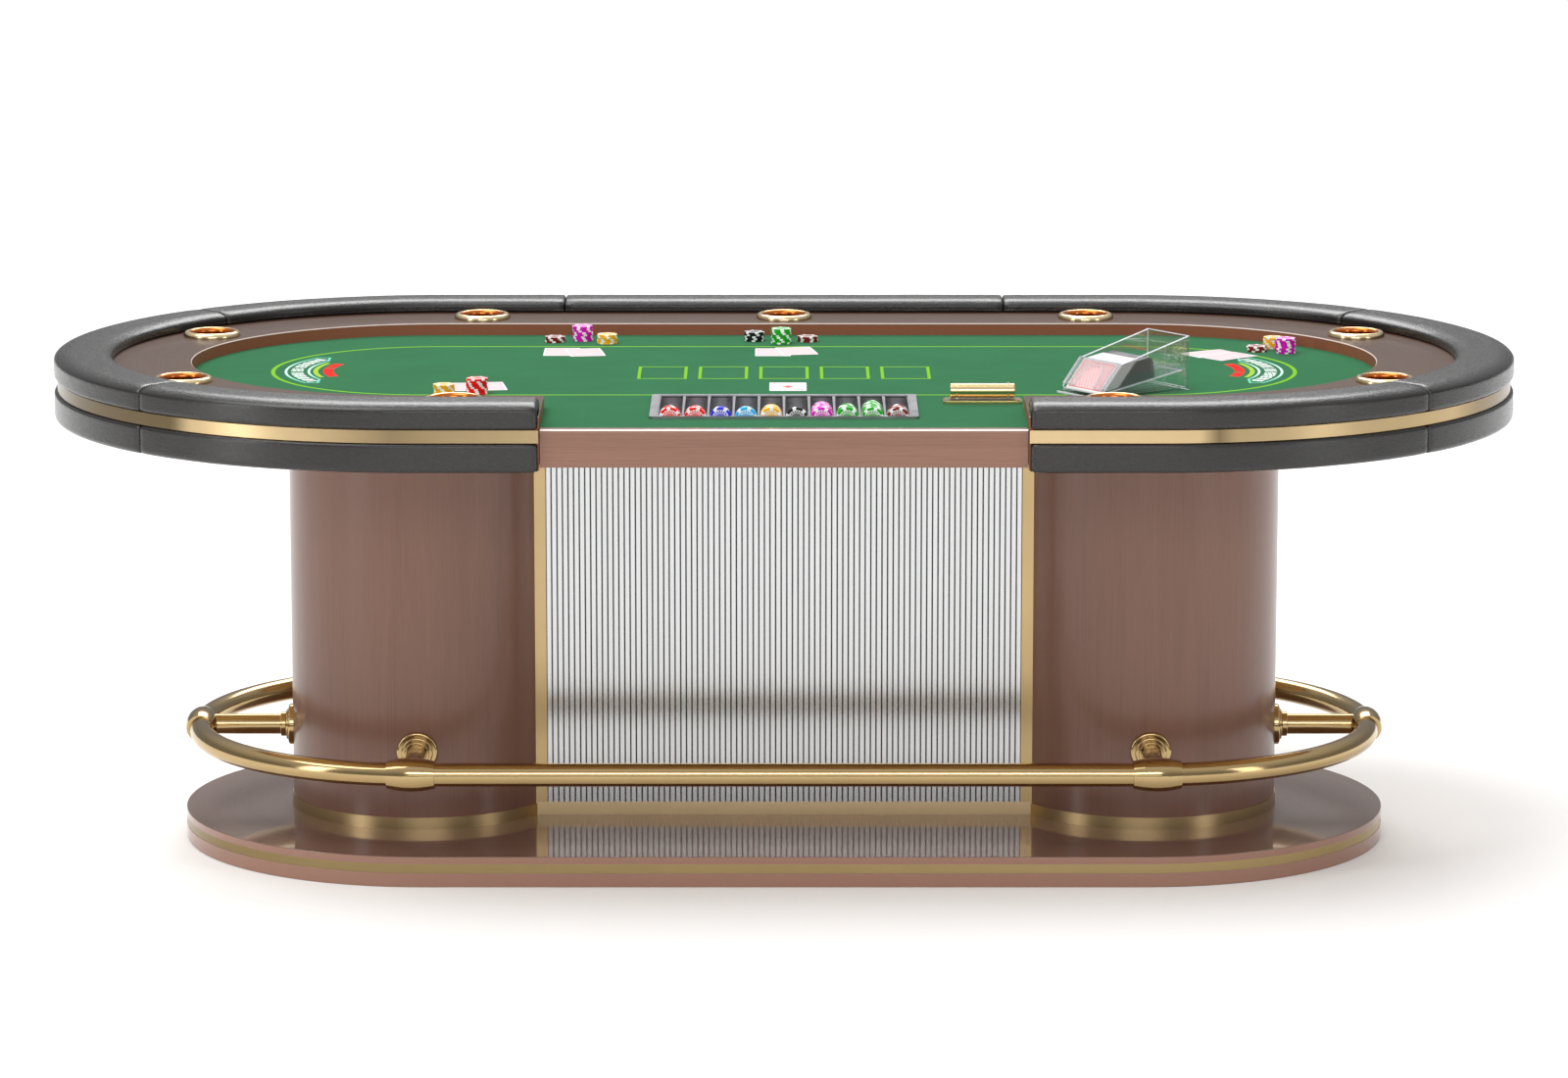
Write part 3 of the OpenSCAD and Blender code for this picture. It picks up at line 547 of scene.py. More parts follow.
def acrylic():
    """Clear plate, thin enough to show what is behind it, with a faint haze."""
    g = Graph("clear_acrylic", Transmission_Weight=0.96, IOR=1.49, Alpha=0.3)
    haze = g.noise(g.place(), (60, 60, 60), detail=5)
    g.paint(g.mix(g.levels(haze, 0.3, 0.7), tone(250, 252, 252), tone(241, 247, 247)))
    g.set("Roughness", g.levels(haze, 0.45, 0.75, 0.015, 0.06))
    return g.material


def moulded(name, colour, rough):
    """Moulded plastic with a fine grain."""
    g = Graph(name, Specular_IOR_Level=0.5)
    place = g.place()
    grain = g.noise(place, (1800, 1800, 1800), detail=2)
    cloud = g.noise(place, (40, 40, 40), detail=3)
    g.paint(g.mix(cloud, shade(colour, 0.92), shade(colour, 1.08)))
    g.set("Roughness", g.levels(cloud, 0.3, 0.7, rough - 0.05, rough + 0.07))
    g.bump(grain, 0.05 * MM, 0.6)
    return g.material


def floor_paint():
    """The plain pale floor of the studio."""
    g = Graph("studio_floor", Roughness=0.9, Specular_IOR_Level=0.1)
    soft = g.noise(g.place(), (3, 3, 3), detail=2)
    g.paint(g.mix(soft, (0.965, 0.965, 0.96), (0.98, 0.98, 0.975)))
    return g.material


CHIP_TONES = {
    "red": tone(252, 10, 12), "blue": tone(52, 48, 226), "sky": tone(24, 184, 246),
    "yellow": tone(255, 186, 8), "black": tone(22, 22, 24), "magenta": tone(226, 6, 192),
    "green": tone(6, 170, 14), "brown": tone(128, 26, 10),
}


def chip_clay(name, colour):
    """Moulded clay composite: fine speckle and a worn, slightly chalky skin."""
    g = Graph("chip_" + name, Specular_IOR_Level=0.2)
    place = g.place()
    speck = g.noise(place, (2600, 2600, 2600), detail=2)
    worn = g.noise(place, (120, 120, 120), detail=4)
    base = g.mix(g.levels(worn, 0.45, 0.8, 0.0, 0.25), colour, shade(colour, 0.8))
    g.paint(g.mix(g.levels(speck, 0.62, 0.75, 0.0, 0.08), base, (0.8, 0.8, 0.8)))
    g.set("Roughness", g.levels(worn, 0.3, 0.7, 0.34, 0.46))
    g.bump(speck, 0.04 * MM)
    return g.material


def card_stock(name, paint=lambda g, u, v: ()):
    """Coated card with a fine linen finish; paint(g, u, v) gives (mask, ink) pairs."""
    g = Graph(name, Roughness=0.42, Specular_IOR_Level=0.4)
    u, v, _ = g.place("UV")
    linen = g.noise(g.place(), (1500, 1500, 1500), detail=1)
    base = g.mix(linen, tone(232, 230, 229), tone(238, 236, 236))
    for mask, ink in paint(g, u, v):
        base = g.mix(mask, base, ink)
    g.paint(base)
    g.bump(linen, 0.03 * MM)
    return g.material


# The white border of a card back, as parts of the card's width and length
BORDER = (0.07, 0.05)
# How much longer than wide the lattice's cell is drawn on the card's own coordinates
LATTICE_TALL = 1.43


def lattice(ink, ground, strength, line, count):
    """Card back: a tinted ground, a frame line and a diagonal lattice in a white border."""
    def paint(g, u, v):
        edge = g.math("MAXIMUM", g.minus(g.apart(u, 0.5), 0.5 - BORDER[0]),
                      g.minus(g.apart(v, 0.5), 0.5 - BORDER[1]))
        inside = g.math("LESS_THAN", edge, 0.0)
        frame_line = g.band(edge, -0.008, 0.010, 0.002)
        down = g.times(v, LATTICE_TALL)
        one, two = (g.math("SINE", g.times(g.math(way, u, down), count))
                    for way in ("ADD", "SUBTRACT"))
        weave = g.levels(g.math("MAXIMUM", one, two), 0.45, 0.75)
        net = g.times(g.times(weave, inside), strength)
        return ((inside, ground), (net, ink), (g.times(frame_line, line), ink))
    return paint


def ace_of_diamonds(g, u, v):
    """A red diamond in the middle and a small one in two corners."""
    ink = tone(222, 60, 66)
    signs = []
    for cu, cv, size in ((0.5, 0.5, 0.17), (0.13, 0.88, 0.05), (0.87, 0.12, 0.05)):
        reach = g.math("ADD", g.apart(u, cu), g.times(g.apart(v, cv), 1.1))
        signs.append((g.levels(reach, size - 0.01, size + 0.01, 1.0, 0.0), ink))
    return signs


# In the veneers, the redder tones of the upright faces are painted light, and the pale edge tones are painted
# highlights.
MATERIALS = {
    "base_veneer": veneer("base_veneer", tone(116, 85, 70), rough=0.45, coat=1.0, polish=0.06,
                          painted_wall_light=(PLINTH_TOP - 0.5 * MM, tone(146, 105, 86))),
    "plywood": plywood(),
    "brass": metal("brass", tone(188, 163, 120), 0.30, brushed=0.3),
    "rail_brass": metal("rail_brass", tone(188, 162, 116), 0.14, brushed=0.1),
    "drum_veneer": veneer("drum_veneer", tone(118, 82, 66), rough=0.42, coat=0.6, polish=0.2,
                          upright=True),
    "steel_bolt": metal("steel_bolt", tone(170, 170, 175), 0.4, follow=False),
    "reeded_metal": reeded_metal(),
    "felt": felt_cloth(),
    "rail_veneer": veneer("rail_veneer", tone(80, 56, 43), rough=0.45, coat=0.12, polish=0.1,
                          gloss=0.12, painted_wall_light=(TRACK_Z - 2.0 * MM, tone(150, 92, 68)),
                          edge=(TRACK_Z - 2.0 * MM, 1.95 * MM, tone(226, 204, 194))),
    "fascia_veneer": veneer("fascia_veneer", tone(135, 94, 75), rough=0.26, coat=0.5,
                            polish=0.14,
                            edge=(FELT_Z - 2.6 * MM, 2.45 * MM, tone(252, 238, 230))),
    "leather": leather(),
    "cup_brass": cup_metal(),
    "tray_metal": tray_metal(),
    "slot_brass": metal("slot_brass", tone(226, 202, 152), 0.20, brushed=0.3),
    "clear_acrylic": acrylic(),
    "wedge_plastic": moulded("wedge_plastic", tone(84, 84, 88), 0.5),
    "chips": chip_clay("plain", tone(200, 60, 50)),
    "cards": card_stock("card_edges"),
}

# Painted reflection along the two brass bands, brighter and darker stretches: (x in metres, brightness)
RAIL_BAND_PAINTED_REFLECTION = ((-1.3, 0.28), (-1.04, 0.28), (-1.01, 1.0), (-0.90, 1.0), (-0.80, 0.90),
                 (-0.66, 0.44), (-0.42, 0.68), (0.42, 1.04), (0.70, 1.0), (0.73, 0.34),
                 (0.76, 0.69), (1.0, 0.75), (1.15, 0.93), (1.2, 0.5), (1.3, 0.25))
BASE_BAND_PAINTED_REFLECTION = ((-1.1, 0.60), (-0.68, 0.78), (-0.35, 0.88), (0.0, 0.94), (0.5, 1.0), (1.1, 0.9))
OWN_FINISH = {
    "rail_brass_band": metal("rail_band", tone(198, 173, 131), 0.24, brushed=0.3,
                             painted_reflection=RAIL_BAND_PAINTED_REFLECTION),
    "panel_base_strips": metal("base_strips", tone(222, 196, 154), 0.40, brushed=0.4),
    "plinth_brass_band": metal("plinth_band", tone(174, 152, 108), 0.24, brushed=0.3,
                               painted_reflection=BASE_BAND_PAINTED_REFLECTION),
}

for entry in record["subparts"]:
    name = entry["node"]
    dressed = nodes[name].data.materials
    dressed.clear()
    dressed.append(OWN_FINISH.get(name, MATERIALS[entry["material_slot"]]))

# ---- building pieces ----


def linked(name, data):
    """A new object with this data, in the scene."""
    obj = bpy.data.objects.new(name, data)
    scene.collection.objects.link(obj)
    return obj


def mesh_of(builder, name, outward=False):
    """The builder's faces as a mesh, with its normals turned outward where asked."""
    if outward:
        bmesh.ops.recalc_face_normals(builder, faces=builder.faces)
    mesh = bpy.data.meshes.new(name)
    builder.to_mesh(mesh)
    builder.free()
    return mesh


def mark_sharp(mesh, degrees):
    """Shades smooth, except where two faces meet at more than this angle."""
    builder = bmesh.new()
    builder.from_mesh(mesh)
    for edge in builder.edges:
        edge.smooth = len(edge.link_faces) != 2 or edge.calc_face_angle(0) < math.radians(degrees)
    builder.to_mesh(mesh)
    builder.free()


def piece(mesh, body, replaced, materials, smooth=True):
    """An object of the mesh's name that rides on a body in place of a CAD node."""
    obj = linked(mesh.name, mesh)
    for polygon in mesh.polygons:
        polygon.use_smooth = smooth
    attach(obj, body)
    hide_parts(replaced)
    for material in materials:
        mesh.materials.append(material)
    return obj


# ---- chips ----

CHIP_R = 18.6 * MM
CHIP_T = 3.35 * MM
CHIP_EASE = 0.45 * MM
INLAY_SINK = 0.12 * MM
# The face from its middle outwards: the part of the radius that each ring ends at, its print
# and how deep it is sunk there
RINGS = ((0.50, "inlay", INLAY_SINK), (0.55, "white", INLAY_SINK), (0.575, "clay", 0.0),
         (0.70, "dashed", 0.0), (0.76, "white", 0.0), (1.0, "spotted", 0.0))
# The chip's parts round its edge, and how many of every nine and of every three are white
SEGMENTS = 54
SPOT = (9, 3)
DASH = (3, 1)
# How far a chip is turned from the one below it, and how far every second one slips, in degrees
TURN = -9
SLIP = 30
# How far a chip on the felt stands off its stack's axis
LEAN = 0.9 * MM
CHIP_MATERIALS = {name: chip_clay(name, colour) for name, colour in CHIP_TONES.items()}
CHIP_MATERIALS["white"] = chip_clay("white", tone(253, 254, 253))
FELT_STACKS = ("yellow", "red", "brown", "magenta", "yellow", "black", "green", "brown",
               "brown", "yellow", "magenta")
TRAY_ROWS = ("red", "red", "blue", "sky", "yellow", "black", "magenta", "green", "green",
             "brown")


def chip_profile():
    """(radius, height) of a chip's rings from its lower middle to its upper middle."""
    half = CHIP_T / 2
    upper = [(0.0, half - INLAY_SINK)]
    upper += [(part * CHIP_R, half - sink) for part, _, sink in RINGS[:-1]]
    upper += [(CHIP_R - CHIP_EASE, half), (CHIP_R - 0.3 * CHIP_EASE, half - 0.3 * CHIP_EASE),
              (CHIP_R, half - CHIP_EASE)]
    return [(r, -z) for r, z in upper] + [(r, z) for r, z in reversed(upper)]


def add_chip(builder, place, axis, turn):
    """One chip with white spots that run over its edge and onto both faces."""
    profile = chip_profile()
    stand = axis.to_track_quat("Z", "Y").to_matrix().to_4x4()
    stand.translation = place
    loops = []
    for r, z in profile:
        angles = [turn + 2 * math.pi * i / SEGMENTS for i in range(SEGMENTS if r else 1)]
        loops.append([builder.verts.new(stand @ Vector((r * math.cos(a), r * math.sin(a), z)))
                      for a in angles])
    for low, high, (r_low, _), (r_high, _) in zip(loops, loops[1:], profile, profile[1:]):
        outer = max(r_low, r_high) / CHIP_R
        print_here = next(kind for part, kind, _ in RINGS if outer < part + 0.01)
        for i in range(SEGMENTS):
            j = (i + 1) % SEGMENTS
            if len(low) == 1:
                corners = (low[0], high[j], high[i])
            elif len(high) == 1:
                corners = (low[i], low[j], high[0])
            else:
                corners = (low[i], low[j], high[j], high[i])
            white = (print_here == "white" or print_here == "spotted" and i % SPOT[0] < SPOT[1]
                     or print_here == "dashed" and i % DASH[0] < DASH[1])
            face = builder.faces.new(corners)
            face.material_index = 1 if white else 2 if print_here == "inlay" else 0


def chip_stack(name, places, axis, colour, body, node):
    """A stack of chips, each turned a little from the last one."""
    builder = bmesh.new()
    turn = random.uniform(0, 1)
    for i, place in enumerate(places):
        slip = random.uniform(-SLIP, SLIP) if i % 2 == 1 else 0.0
        turn += math.radians(slip + TURN)
        add_chip(builder, place, axis, turn)
    mesh = mesh_of(builder, name, outward=True)
    inlay = chip_clay(name + "_inlay", tuple(0.18 + 0.80 * c for c in CHIP_TONES[colour]))
    piece(mesh, body, node, (CHIP_MATERIALS[colour], CHIP_MATERIALS["white"], inlay))
    mark_sharp(mesh, 40)


def stacks_of(node, depth):
    """Chip middles grouped into stacks from left to right, each ordered along depth."""
    groups = {}
    for points in islands(node):
        centre, _ = middle(points)
        groups.setdefault(round(centre.x, 3), []).append(centre)
    return [sorted(groups[key], key=lambda c: c[depth]) for key in sorted(groups)]


for i, (colour, places) in enumerate(zip(FELT_STACKS, stacks_of("felt_chips", 2)), 1):
    shifted = [p + Vector((random.uniform(-LEAN, LEAN), random.uniform(-LEAN, LEAN), 0))
               for p in places]
    chip_stack(f"felt_chips_{i}", shifted, Vector((0, 0, 1)), colour, "table", "felt_chips")

for i, (colour, places) in enumerate(zip(TRAY_ROWS, stacks_of("tray_chips", 1)), 1):
    axis = (places[-1] - places[0]).normalized()
    chip_stack(f"tray_chips_{i}", places, axis, colour, "chip_tray", "tray_chips")


# ---- cards ----

CARD_W = 65 * MM
CARD_L = 93 * MM
CARD_T = 0.33 * MM
CARD_CORNER = 3.2 * MM
# How much a face-down card bows, and into how many strips its length is cut for that
CARD_BOW = 0.4 * MM
CARD_STRIPS = 8
# Between which lengths the straight part of a CAD card's long side lies
LONG_SIDE = (86.8 * MM, 87.1 * MM)
# Where the face-up card's middle is along X
FACE_UP_X = 7 * MM


def card_outline(width, length, steps=5):
    points = []
    for cx, cy, start in ((1, 1, 0), (-1, 1, 90), (-1, -1, 180), (1, -1, 270)):
        for k in range(steps + 1):
            a = math.radians(start + 90 * k / steps)
            points.append((cx * (width / 2 - CARD_CORNER) + CARD_CORNER * math.cos(a),
                           cy * (length / 2 - CARD_CORNER) + CARD_CORNER * math.sin(a)))
    return points


def wall_between(builder, low, high):
    """Faces between two rings of as many corners."""
    for i in range(len(low)):
        j = (i + 1) % len(low)
        builder.faces.new((low[i], low[j], high[j], high[i]))


def card_mesh(name, bow):
    """A card with round corners, printed by UV, bowed a little along its length."""
    builder = bmesh.new()
    uv = builder.loops.layers.uv.new("print")
    outline = card_outline(CARD_W, CARD_L)
    rows = [[builder.verts.new((x * grow, y * grow, z)) for x, y in outline]
            for z, grow in ((0.0, 0.97), (0.0, 1.0), (CARD_T, 1.0), (CARD_T, 0.97))]
    for low, high in zip(rows, rows[1:]):
        wall_between(builder, low, high)
    builder.faces.new(list(reversed(rows[0])))
    builder.faces.new(rows[-1])
    for k in range(1, CARD_STRIPS):
        everything = builder.verts[:] + builder.edges[:] + builder.faces[:]
        bmesh.ops.bisect_plane(builder, geom=everything, plane_no=(0, 1, 0),
                               plane_co=(0, CARD_L * (k / CARD_STRIPS - 0.5), 0))
    for vertex in builder.verts:
        vertex.co.z += bow * (1 - (2 * vertex.co.y / CARD_L) ** 2)
    for face in builder.faces:
        for loop in face.loops:
            loop[uv].uv = (loop.vert.co.x / CARD_W + 0.5, loop.vert.co.y / CARD_L + 0.5)
    return mesh_of(builder, name)


def long_side(points):
    """The direction of a CAD card's long side, seen from above."""
    corners = [Vector((p.x, p.y)) for p in points]
    ways = [b - a for a in corners for b in corners
            if b.y > a.y and LONG_SIDE[0] < (b - a).length < LONG_SIDE[1]]
    return max(ways, key=lambda way: way.length)


CARD_BACK = card_stock("card_back", lattice(tone(226, 96, 110), (0.80, 0.60, 0.62),
                                            0.10, 0.45, 130.0))
CARD_FACE = card_stock("card_face", ace_of_diamonds)
SHOE_BACK = card_stock("card_back_new", lattice(tone(232, 44, 60), (0.94, 0.87, 0.87),
                                                0.75, 0.9, 100.0))

for i, points in enumerate(sorted(islands("felt_cards"), key=lambda p: middle(p)[0].x), 1):
    centre, size = middle(points)
    face_up = abs(centre.x - FACE_UP_X) < 3 * MM and centre.y < -0.1
    mesh = card_mesh(f"card_{i}", 0.0 if face_up else CARD_BOW)
    turn = Matrix.Rotation(long_side(points).angle_signed(Vector((0, 1))), 4, "Z")
    mesh.transform(Matrix.Translation((centre.x, centre.y, centre.z - size.z / 2)) @ turn)
    piece(mesh, "table", "felt_cards", (CARD_FACE if face_up else CARD_BACK,),
          smooth=False)

# ---- the cards in the shoe ----

ramp_axis = Vector(next(j for j in frame["joints"] if j["name"] == "wedge_slide")["axis"])
along = Vector((ramp_axis.x, ramp_axis.y, 0)).normalized()
across = Vector((-along.y, along.x, 0))
ramp_up = ramp_axis.cross(across) * (1 if ramp_axis.cross(across).z > 0 else -1)


# How many cards the shoe's block shows, how much of its pitch each one fills, and how far it
# slips up and to a side
SHOE_CARDS = 74
CARD_FILL = (0.05, 0.90)
SLIP_UP = 0.25
SLIP_SIDE = 0.6


def shoe_block():
    """The leaning block of cards, as separate cards with slightly uneven edges."""
    corners = [v.co for v in nodes["shoe_cards"].data.vertices]

    def ends(way):
        reached = [c.dot(way) for c in corners]
        return min(reached), max(reached)

    first = ends(ramp_axis)[0]
    low, high = ends(ramp_up)
    left, right = ends(across)
    length = right - left
    feet = [c.dot(ramp_axis) for c in corners if c.dot(ramp_up) < low + MM]
    tops = [c.dot(ramp_axis) for c in corners if c.dot(ramp_up) > high - MM]
    up_face = ramp_axis * (min(tops) - min(feet)) + ramp_up * (high - low)
    width = up_face.length
    up_face.normalize()
    out = across.cross(up_face)
    if out.dot(ramp_axis) < 0:
        out = -out
    lean = ramp_axis.dot(out)
    pitch = (max(feet) - first) * lean / SHOE_CARDS
    origin = ramp_axis * first + ramp_up * low + across * ((left + right) / 2)
    builder = bmesh.new()
    uv = builder.loops.layers.uv.new("print")
    outline = card_outline(length, width)
    for k in range(SHOE_CARDS):
        slip = random.uniform(-SLIP_UP, SLIP_UP) * MM
        side = random.uniform(-SLIP_SIDE, SLIP_SIDE) * MM
        # every card stands on the ramp, so its foot follows the ramp's slope
        foot = origin + ramp_axis * (pitch * k / lean)
        core = foot + up_face * (width / 2 + 0.35 * MM + abs(slip)) + across * side
        rings = [[builder.verts.new(core + across * x + up_face * y + out * (part * pitch))
                  for x, y in outline] for part in CARD_FILL]
        wall_between(builder, *rings)
        faces = (builder.faces.new(list(reversed(rings[0]))), builder.faces.new(rings[1]))
        for face in faces:
            face.material_index = 1
            for loop in face.loops:
                offset = loop.vert.co - core
                loop[uv].uv = (offset.dot(up_face) / width + 0.5,
                               offset.dot(across) / length + 0.5)
    piece(mesh_of(builder, "shoe_card_block", outward=True), "card_shoe",
          "shoe_cards", (MATERIALS["cards"], SHOE_BACK), smooth=False)


shoe_block()

# ---- the shoe's clear plates ----

# How much a plate's edges are eased, and the width below which a face is an edge face
PLATE_EASE = 0.9 * MM
PLATE_EDGE = 5.2 * MM


def acrylic_edge_highlight():
    """Polished edge of a clear plate, painted pale: a painted highlight for the light that the edge gathers."""
    g = Graph("acrylic_edge_highlight", Specular_IOR_Level=0.6, Transmission_Weight=0.25, IOR=1.49)
    haze = g.noise(g.place(), (90, 90, 90), detail=4)
    # painted highlight: a pale, nearly white colour on the edge faces
    g.paint(g.mix(haze, tone(236, 232, 246), tone(250, 248, 255)))
    g.set("Roughness", g.levels(haze, 0.35, 0.7, 0.10, 0.22))
    return g.material


ACRYLIC_EDGE_HIGHLIGHT = acrylic_edge_highlight()


def clear_plates(name, node):
    """The plates of a CAD node with eased, polished edges."""
    builder = bmesh.new()
    builder.from_mesh(nodes[node].data)
    bmesh.ops.remove_doubles(builder, verts=builder.verts, dist=1e-5)
    bmesh.ops.dissolve_limit(builder, angle_limit=math.radians(1), verts=builder.verts,
                             edges=builder.edges)
    corners = [e for e in builder.edges
               if len(e.link_faces) == 2 and e.calc_face_angle(0) > math.radians(20)]
    made = bmesh.ops.bevel(builder, geom=corners, offset=PLATE_EASE, segments=1,
                           affect="EDGES", profile=0.5)
    eased = set(made["faces"])
    for face in builder.faces:
        longest = max(edge.calc_length() for edge in face.edges)
        narrow = face.calc_area() / longest < PLATE_EDGE
        face.material_index = 1 if (narrow or face in eased) else 0
    piece(mesh_of(builder, name), "card_shoe", node,
          (MATERIALS["clear_acrylic"], ACRYLIC_EDGE_HIGHLIGHT), smooth=False)


clear_plates("shoe_clear_case", "shoe_case")
clear_plates("shoe_clear_face", "shoe_face_plate")
clear_plates("shoe_clear_ramp", "shoe_ramp")

# ---- armrest pads ----

# Play that keeps a pad's faces out of the apron's and the racetrack's
GAP = 0.3 * MM
# How finely a pad's outline is divided: round its corners, and between them
CORNER_STEP = 1.6 * MM
SIDE_STEP = 3.2 * MM
# Width and height of the ellipse along a pad's outer and its inner upper edge
CROWN_OUT = (36 * MM, 15 * MM)
CROWN_IN = (28 * MM, 13 * MM)
CROWN_PIECES = 12
# Distance between a pad's cross-sections, and the gap at a seam
STATION = 6 * MM
SEAM_GAP = 1.0 * MM
# How round a pad's ends are: at a seam, and at its free end beside the dealer's opening
SEAM_ROUND = 5 * MM
FREE_ROUND = 9 * MM
ROUND_ANGLES = (0, 18, 36, 54, 72)
# Waves in the leather: how many per metre along the pad and across it, and their height
SLOW_WAVE = (9, 25, 0.30)
QUICK_WAVE = (38, 70, 0.10)
DRAWN_IN = 0.4
# The puckers beside a seam: how far they reach, how many per metre, and their height
PUCKER_REACH = 30 * MM
PUCKER_WAVE = 30
PUCKER_HEIGHT = 0.55


def rounded(points, radii):
    """A closed outline in the (r, z) plane with its corners rounded, evenly divided."""
    outline = []
    for i, (corner, radius) in enumerate(zip(points, radii)):
        here = Vector(corner)
        into = (here - Vector(points[i - 1])).normalized()
        out = (Vector(points[(i + 1) % len(points)]) - here).normalized()
        turn = into.angle_signed(out)
        if radius == 0 or abs(turn) < 0.01:
            outline.append(here)
            continue
        start = here - into * (radius * math.tan(abs(turn) / 2))
        centre = start + Vector((-into.y, into.x)) * (-1 if turn > 0 else 1) * radius
        arm = start - centre
        pieces = max(3, math.ceil(radius * abs(turn) / CORNER_STEP))
        for k in range(pieces + 1):
            a = -turn * k / pieces
            outline.append(centre + Vector((arm.x * math.cos(a) - arm.y * math.sin(a),
                                            arm.x * math.sin(a) + arm.y * math.cos(a))))
    dense = []
    for here, after in zip(outline, outline[1:] + outline[:1]):
        length = (after - here).length
        if length > 1e-6:
            pieces = max(1, round(length / SIDE_STEP))
            dense += [here.lerp(after, k / pieces) for k in range(pieces)]
    return dense


def normals_of(outline):
    """Outward normals of a closed outline that runs anticlockwise."""
    found = []
    for i, here in enumerate(outline):
        way = outline[(i + 1) % len(outline)] - outline[i - 1]
        found.append(Vector((way.y, -way.x)).normalized())
    return found


def crown(corner, size):
    """Quarter of an ellipse at a pad's upper outer or inner corner, run anticlockwise."""
    wide, high = size
    side = 1 if corner > (PAD_OUT + PAD_IN) / 2 else -1
    angles = [math.pi / 2 * k / CROWN_PIECES for k in range(CROWN_PIECES + 1)][::side]
    return [(corner - side * wide * (1 - math.cos(a)), PAD_TOP - high * (1 - math.sin(a)))
            for a in angles]


def upper_outline():
    """Corners and corner radii of an upper pad's cross-section."""
    bottom = PAD_LOW + GAP
    curved = crown(PAD_OUT, CROWN_OUT) + crown(PAD_IN, CROWN_IN)
    points = [(APRON_R + GAP, bottom), (PAD_OUT, bottom)] + curved
    points += [(PAD_IN, TRACK_Z + GAP), (APRON_R + GAP, TRACK_Z + GAP)]
    return points, [0, 7 * MM] + [0] * len(curved) + [4 * MM, 0]


def lower_outline():
    """Corners and corner radii of a lower pad's cross-section."""
    return [(APRON_R + GAP, SKIRT_LOW), (PAD_OUT, SKIRT_LOW), (PAD_OUT, SKIRT_TOP - GAP),
            (APRON_R + GAP, SKIRT_TOP - GAP)], [2 * MM, 9 * MM, 6 * MM, 0]


def straight_run(x0, x1, degrees):
    """Places along a straight pad: (its arc's middle along X, the angle round it)."""
    steps = max(2, round(abs(x1 - x0) / STATION))
    return [(x0 + (x1 - x0) * k / steps, degrees) for k in range(steps + 1)]


def arc_run(cx, a0, a1):
    """The same for a curved pad."""
    steps = max(2, round(abs(math.radians(a1 - a0)) * PAD_OUT / STATION))
    return [(cx, a0 + (a1 - a0) * k / steps) for k in range(steps + 1)]


SEAM_ANGLE = math.degrees(SEAM_GAP / 2 / PAD_OUT)


def mirrored(run):
    """The same run on the table's other side, kept in the same sense of travel."""
    return [(-cx, 180 - a) for cx, a in reversed(run)]


RUN_BACK_LEFT = straight_run(-SEAM_X - SEAM_GAP, -HALF, 90)[:-1] + arc_run(
    -HALF, 90, 135 - SEAM_ANGLE)
RUN_LEFT_END = arc_run(-HALF, 135 + SEAM_ANGLE, 225 - SEAM_ANGLE)
RUN_FRONT_LEFT = arc_run(-HALF, 225 + SEAM_ANGLE, 270)[:-1] + straight_run(-HALF, -END_X, 270)
RUNS = {
    "back": straight_run(SEAM_X, -SEAM_X, 90), "back_left": RUN_BACK_LEFT,
    "left_end": RUN_LEFT_END, "front_left": RUN_FRONT_LEFT,
    "back_right": mirrored(RUN_BACK_LEFT), "right_end": mirrored(RUN_LEFT_END),
    "front_right": mirrored(RUN_FRONT_LEFT),
}


def on_table(cx, degrees, r, z):
    """The point at radius r and height z of a place along a pad."""
    a = math.radians(degrees)
    return Vector((cx + r * math.cos(a), r * math.sin(a), z))


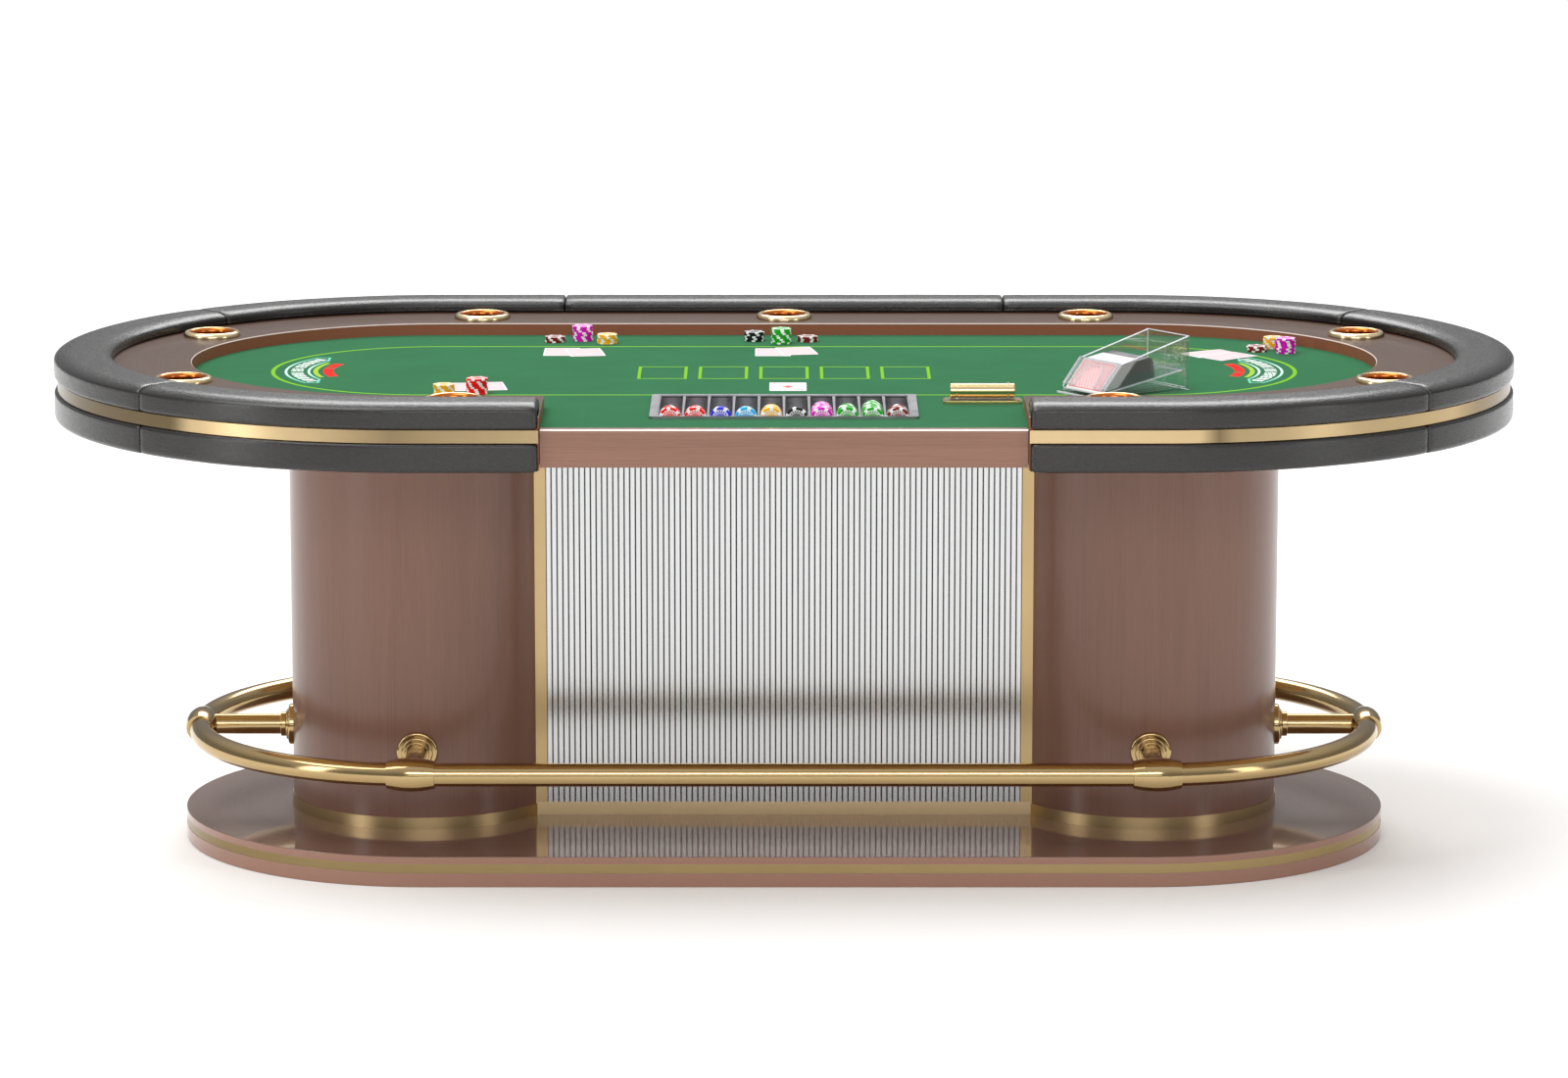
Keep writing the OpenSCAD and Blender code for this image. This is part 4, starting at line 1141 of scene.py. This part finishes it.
def pad_mesh(name, run, shape, seed):
    """A leather-covered pad: rounded ends, a soft crown, slow waves and puckers at its seams."""
    outline = rounded(*shape)
    normals = normals_of(outline)
    marks = [on_table(cx, a, PAD_OUT, 0) for cx, a in run]
    travel = [0.0]
    for a, b in zip(marks, marks[1:]):
        travel.append(travel[-1] + (b - a).length)
    total = travel[-1]
    first = FREE_ROUND if name.endswith("front_right") else SEAM_ROUND
    last = FREE_ROUND if name.endswith("front_left") else SEAM_ROUND
    start = [first * (1 - math.cos(math.radians(t))) for t in ROUND_ANGLES]
    end = [total - last * (1 - math.cos(math.radians(t))) for t in reversed(ROUND_ANGLES)]
    inner = [d for d in travel if start[-1] + 3 * MM < d < end[0] - 3 * MM]

    def at(distance):
        for k in range(len(travel) - 1):
            if distance <= travel[k + 1] + 1e-9:
                t = (distance - travel[k]) / (travel[k + 1] - travel[k])
                (cx0, a0), (cx1, a1) = run[k], run[k + 1]
                return cx0 + (cx1 - cx0) * t, a0 + (a1 - a0) * t
        return run[-1]

    builder = bmesh.new()
    rings = []
    for distance in start + inner + end:
        cx, degrees = at(distance)
        from_end = min(distance, total - distance)
        bend = first if distance < total / 2 else last
        inset = 0.0
        if from_end < bend:
            inset = bend - math.sqrt(max(0.0, bend ** 2 - (bend - from_end) ** 2))
        t = min(1.0, from_end / PUCKER_REACH)
        near = 1 - t * t * (3 - 2 * t)
        ring = []
        for k, (point, normal) in enumerate(zip(outline, normals)):
            slow, quick = (
                height * noise.noise(Vector((distance * lengthways + seed, point.x * across_it,
                                             point.y * across_it)))
                for lengthways, across_it, height in (SLOW_WAVE, QUICK_WAVE))
            pucker = noise.noise(Vector((distance * PUCKER_WAVE + seed, k * 0.9, seed)))
            swell = (slow + quick - DRAWN_IN + near * (PUCKER_HEIGHT * pucker - 0.5)) * MM
            # the hidden side against the apron stays plain
            shown = point.y > TRACK_Z + 3 * MM or point.x >= APRON_R + 2.5 * MM
            push = (swell if shown else 0.0) - inset
            ring.append(builder.verts.new(on_table(
                cx, degrees, point.x + normal.x * push, point.y + normal.y * push)))
        rings.append(ring)
    for low, high in zip(rings, rings[1:]):
        wall_between(builder, low, high)
    builder.faces.new(list(reversed(rings[0])))
    builder.faces.new(rings[-1])
    return mesh_of(builder, name, outward=True)


for index, (label, run) in enumerate(RUNS.items()):
    for level, shape, seed, node in (
            ("upper", upper_outline(), 11.3 * index, "upper_pad_" + label),
            ("lower", lower_outline(), 5.1 + 7.7 * index, "lower_pads")):
        mesh = pad_mesh(f"pad_{level}_{label}", run, shape, seed)
        pad = piece(mesh, "table", node, (MATERIALS["leather"],))
        mark_sharp(mesh, 55)

# ---- studio ----

# Half the floor's side, and how far it lies below the table
FLOOR_HALF = 60.0
FLOOR_DROP = 0.4 * MM
# How bright the sky is at some heights above the horizon (sine of the elevation)
SKY = ((0.0, 0.26), (0.28, 0.29), (0.6, 0.62), (1.0, 0.86))
# name, place, target, width, height, power
LIGHTS = (
    ("back", (0.0, 6.2, 6.0), (0.0, 0.0, 0.8), 5.2, 3.4, 310),
    ("front", (0.0, -8.5, 3.7), (0.0, 0.0, 0.6), 5.0, 1.6, 150),
    ("low", (0.0, -9.6, 1.45), (0.0, 0.0, 0.3), 5.0, 0.8, 18),
    ("left", (-4.8, -3.1, 1.9), (0.0, 0.0, 0.8), 1.1, 3.4, 52),
    ("right", (4.8, -3.4, 1.9), (0.0, 0.0, 0.8), 1.1, 3.4, 32),
)
SUN_FROM = (-0.35, -0.10, 0.93)
SUN_STRENGTH = 1.45
SUN_ANGLE = 40
# Where the camera stands, how many degrees it looks down, and its lens on a 36 mm sensor
CAMERA_PLACE = (0.0, -10.561, 2.4715)
CAMERA_PITCH = 10.40
CAMERA_LENS = 137.25


def studio_floor():
    mesh = bpy.data.meshes.new("studio_floor")
    mesh.from_pydata([(x * FLOOR_HALF, y * FLOOR_HALF, -FLOOR_DROP)
                      for x, y in ((-1, -1), (1, -1), (1, 1), (-1, 1))], [], [(0, 1, 2, 3)])
    mesh.materials.append(floor_paint())
    linked("studio_floor", mesh)


def sky():
    """An even grey sky that is brighter overhead."""
    world = bpy.data.worlds.new("studio")
    scene.world = world
    world.use_nodes = True
    tree = world.node_tree
    tree.nodes.clear()
    coords, split, ramp, back, out = (tree.nodes.new("ShaderNode" + kind) for kind in (
        "TexCoord", "SeparateXYZ", "ValToRGB", "Background", "OutputWorld"))
    set_stops(ramp.color_ramp, [(height, (grey, grey, grey * 1.005)) for height, grey in SKY])
    back.inputs[1].default_value = 1.0
    for source, target in ((coords.outputs["Generated"], split.inputs[0]),
                           (split.outputs[2], ramp.inputs[0]),
                           (ramp.outputs[0], back.inputs[0]),
                           (back.outputs[0], out.inputs[0])):
        tree.links.new(source, target)


def lamp(name, kind, energy, aim):
    """A light that shines along aim."""
    data = bpy.data.lights.new(name, kind)
    data.energy = energy
    made = linked(name, data)
    made.rotation_euler = Vector(aim).to_track_quat("-Z", "Y").to_euler()
    return made


def lights():
    for name, place, target, width, height, power in LIGHTS:
        made = lamp(name, "AREA", power, Vector(target) - Vector(place))
        made.location = place
        made.data.shape = "RECTANGLE"
        made.data.size = width
        made.data.size_y = height
    sun = lamp("sun", "SUN", SUN_STRENGTH, -Vector(SUN_FROM))
    sun.data.angle = math.radians(SUN_ANGLE)


def camera():
    """The photograph's camera."""
    data = bpy.data.cameras.new("camera")
    data.sensor_width = 36.0
    data.lens = CAMERA_LENS
    data.clip_end = 200.0
    view = linked("camera", data)
    view.location = CAMERA_PLACE
    view.rotation_euler = (math.radians(90 - CAMERA_PITCH), 0.0, 0.0)
    scene.camera = view
    scene.view_settings.view_transform = "Standard"


studio_floor()
sky()
lights()
camera()
